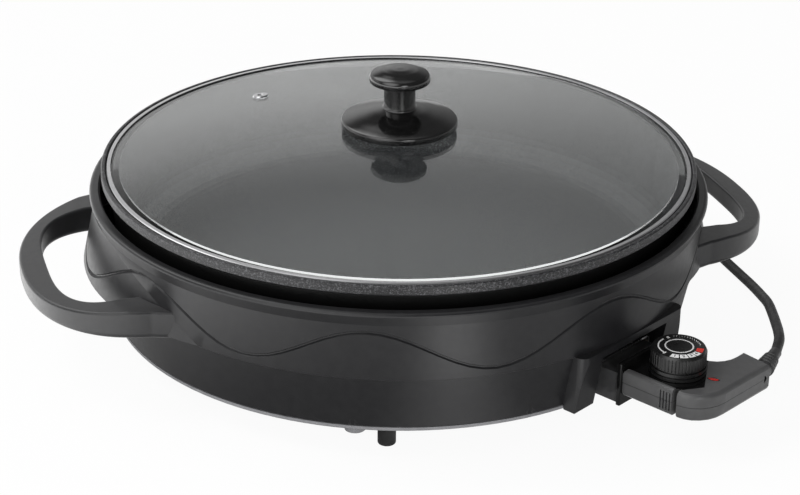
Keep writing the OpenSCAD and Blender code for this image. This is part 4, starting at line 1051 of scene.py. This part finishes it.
floor_mesh = bpy.data.meshes.new("floor")
floor_corners = [(x * floor_size, y * floor_size, 0) for x, y in [(-1, -1), (1, -1), (1, 1), (-1, 1)]]
floor_mesh.from_pydata(floor_corners, [], [(0, 1, 2, 3)])
floor_mesh.materials.append(floor_finish)
floor = bpy.data.objects.new("floor", floor_mesh)
bpy.context.scene.collection.objects.link(floor)
print("floor", 2 * floor_size, "m wide")

# %% [markdown]
# The room. Its light could come from a picture of a studio, but a few soft patches of light are enough and
# need no file: one above, one on the left, one behind on the left and a narrow one in front. Each rises
# smoothly between two cosines of the angle from its middle. A pale sky low behind the skillet gives the lid's
# glass its haze, and fades out upwards, downwards, forwards and to the right. The camera sees plain white.

# %% World
even_level = 0.12
sky_level = 0.86
patches = {
    "above": ((0, 0, 1), 0.80, 1.0, 0.50),
    "left": ((-0.75, -0.5, 0.55), 0.80, 1.0, 2.0),
    "behind on the left": ((-0.42, 0.46, 0.78), 0.86, 0.97, 2.6),
    "front": ((0.0, -1, 0.12), 0.965, 0.995, 3.0),
}
sky_fades = {
    "upwards": ("Z", 0.60, 0.34, 0.0),
    "downwards": ("Z", 0.0, 0.26, 0.55),
    "forwards": ("Y", -0.1, 0.4, 0.0),
    "to the right": ("X", 0.52, 0.20, 0.18),
}
world = bpy.data.worlds.new("soft_room")
bpy.context.scene.world = world
world.use_nodes = True
world.node_tree.nodes.clear()
look = add_node(world, "ShaderNodeTexCoord").outputs["Generated"]
look_parts = parts_of(world, look)


def soft_patch(direction, start, end, strength):
    towards = vector_step(world, "DOT_PRODUCT", look, Vector(direction).normalized())
    return slope(world, towards, start, end, 0.0, strength)


light = even_level
for patch in patches.values():
    light = number_step(world, "ADD", light, soft_patch(*patch))
back_sky = sky_level
for axis, start, end, least in sky_fades.values():
    back_sky = number_step(world, "MULTIPLY", slope(world, look_parts[axis], start, end, least), back_sky)
room_light = add_node(world, "ShaderNodeBackground")
join(world, number_step(world, "ADD", light, back_sky), room_light.inputs["Strength"])

white = add_node(world, "ShaderNodeBackground", Color=(1, 1, 1, 1))
room_share = seen_plainly(world, add_node(world, "ShaderNodeLightPath").outputs)
room = mix_shaders(world, room_share, room_light.outputs["Background"], white.outputs["Background"])
join(world, room, add_node(world, "ShaderNodeOutputWorld").inputs["Surface"])
bpy.context.scene.view_settings.view_transform = "Standard"
print("light patches", list(patches), "and a back sky that fades", list(sky_fades))

# %% [markdown]
# Two rectangular lamps add what the soft room doesn't: a key from the upper left, which draws the handle's
# roots and the shadow, and a tall narrow one straight in front, which draws the soft upright light on the
# wall. A large lamp at a distance gives a soft edge. They are hidden from the camera and from mirror rays, so
# no hard rectangle shows in the glass: what gleams is the soft room.

# %% Lamps
def soft_lamp(name, place, aim, size, power):
    data = bpy.data.lights.new(name, "AREA")
    data.shape = "RECTANGLE"
    data.size, data.size_y = size
    data.energy = power
    lamp = bpy.data.objects.new(name, data)
    bpy.context.scene.collection.objects.link(lamp)
    lamp.location = place
    lamp.visible_camera = False
    lamp.visible_glossy = False
    lamp.visible_transmission = False
    lamp.rotation_euler = (Vector(aim) - Vector(place)).to_track_quat("-Z", "Y").to_euler()


soft_lamp("key_lamp", (-1.3, 0.2, 1.6), aim=(0, 0, 0.08), size=(0.9, 0.9), power=16)
soft_lamp("front_lamp", (-0.05, -1.7, 0.5), aim=(0, 0, 0.06), size=(0.28, 0.9), power=12)
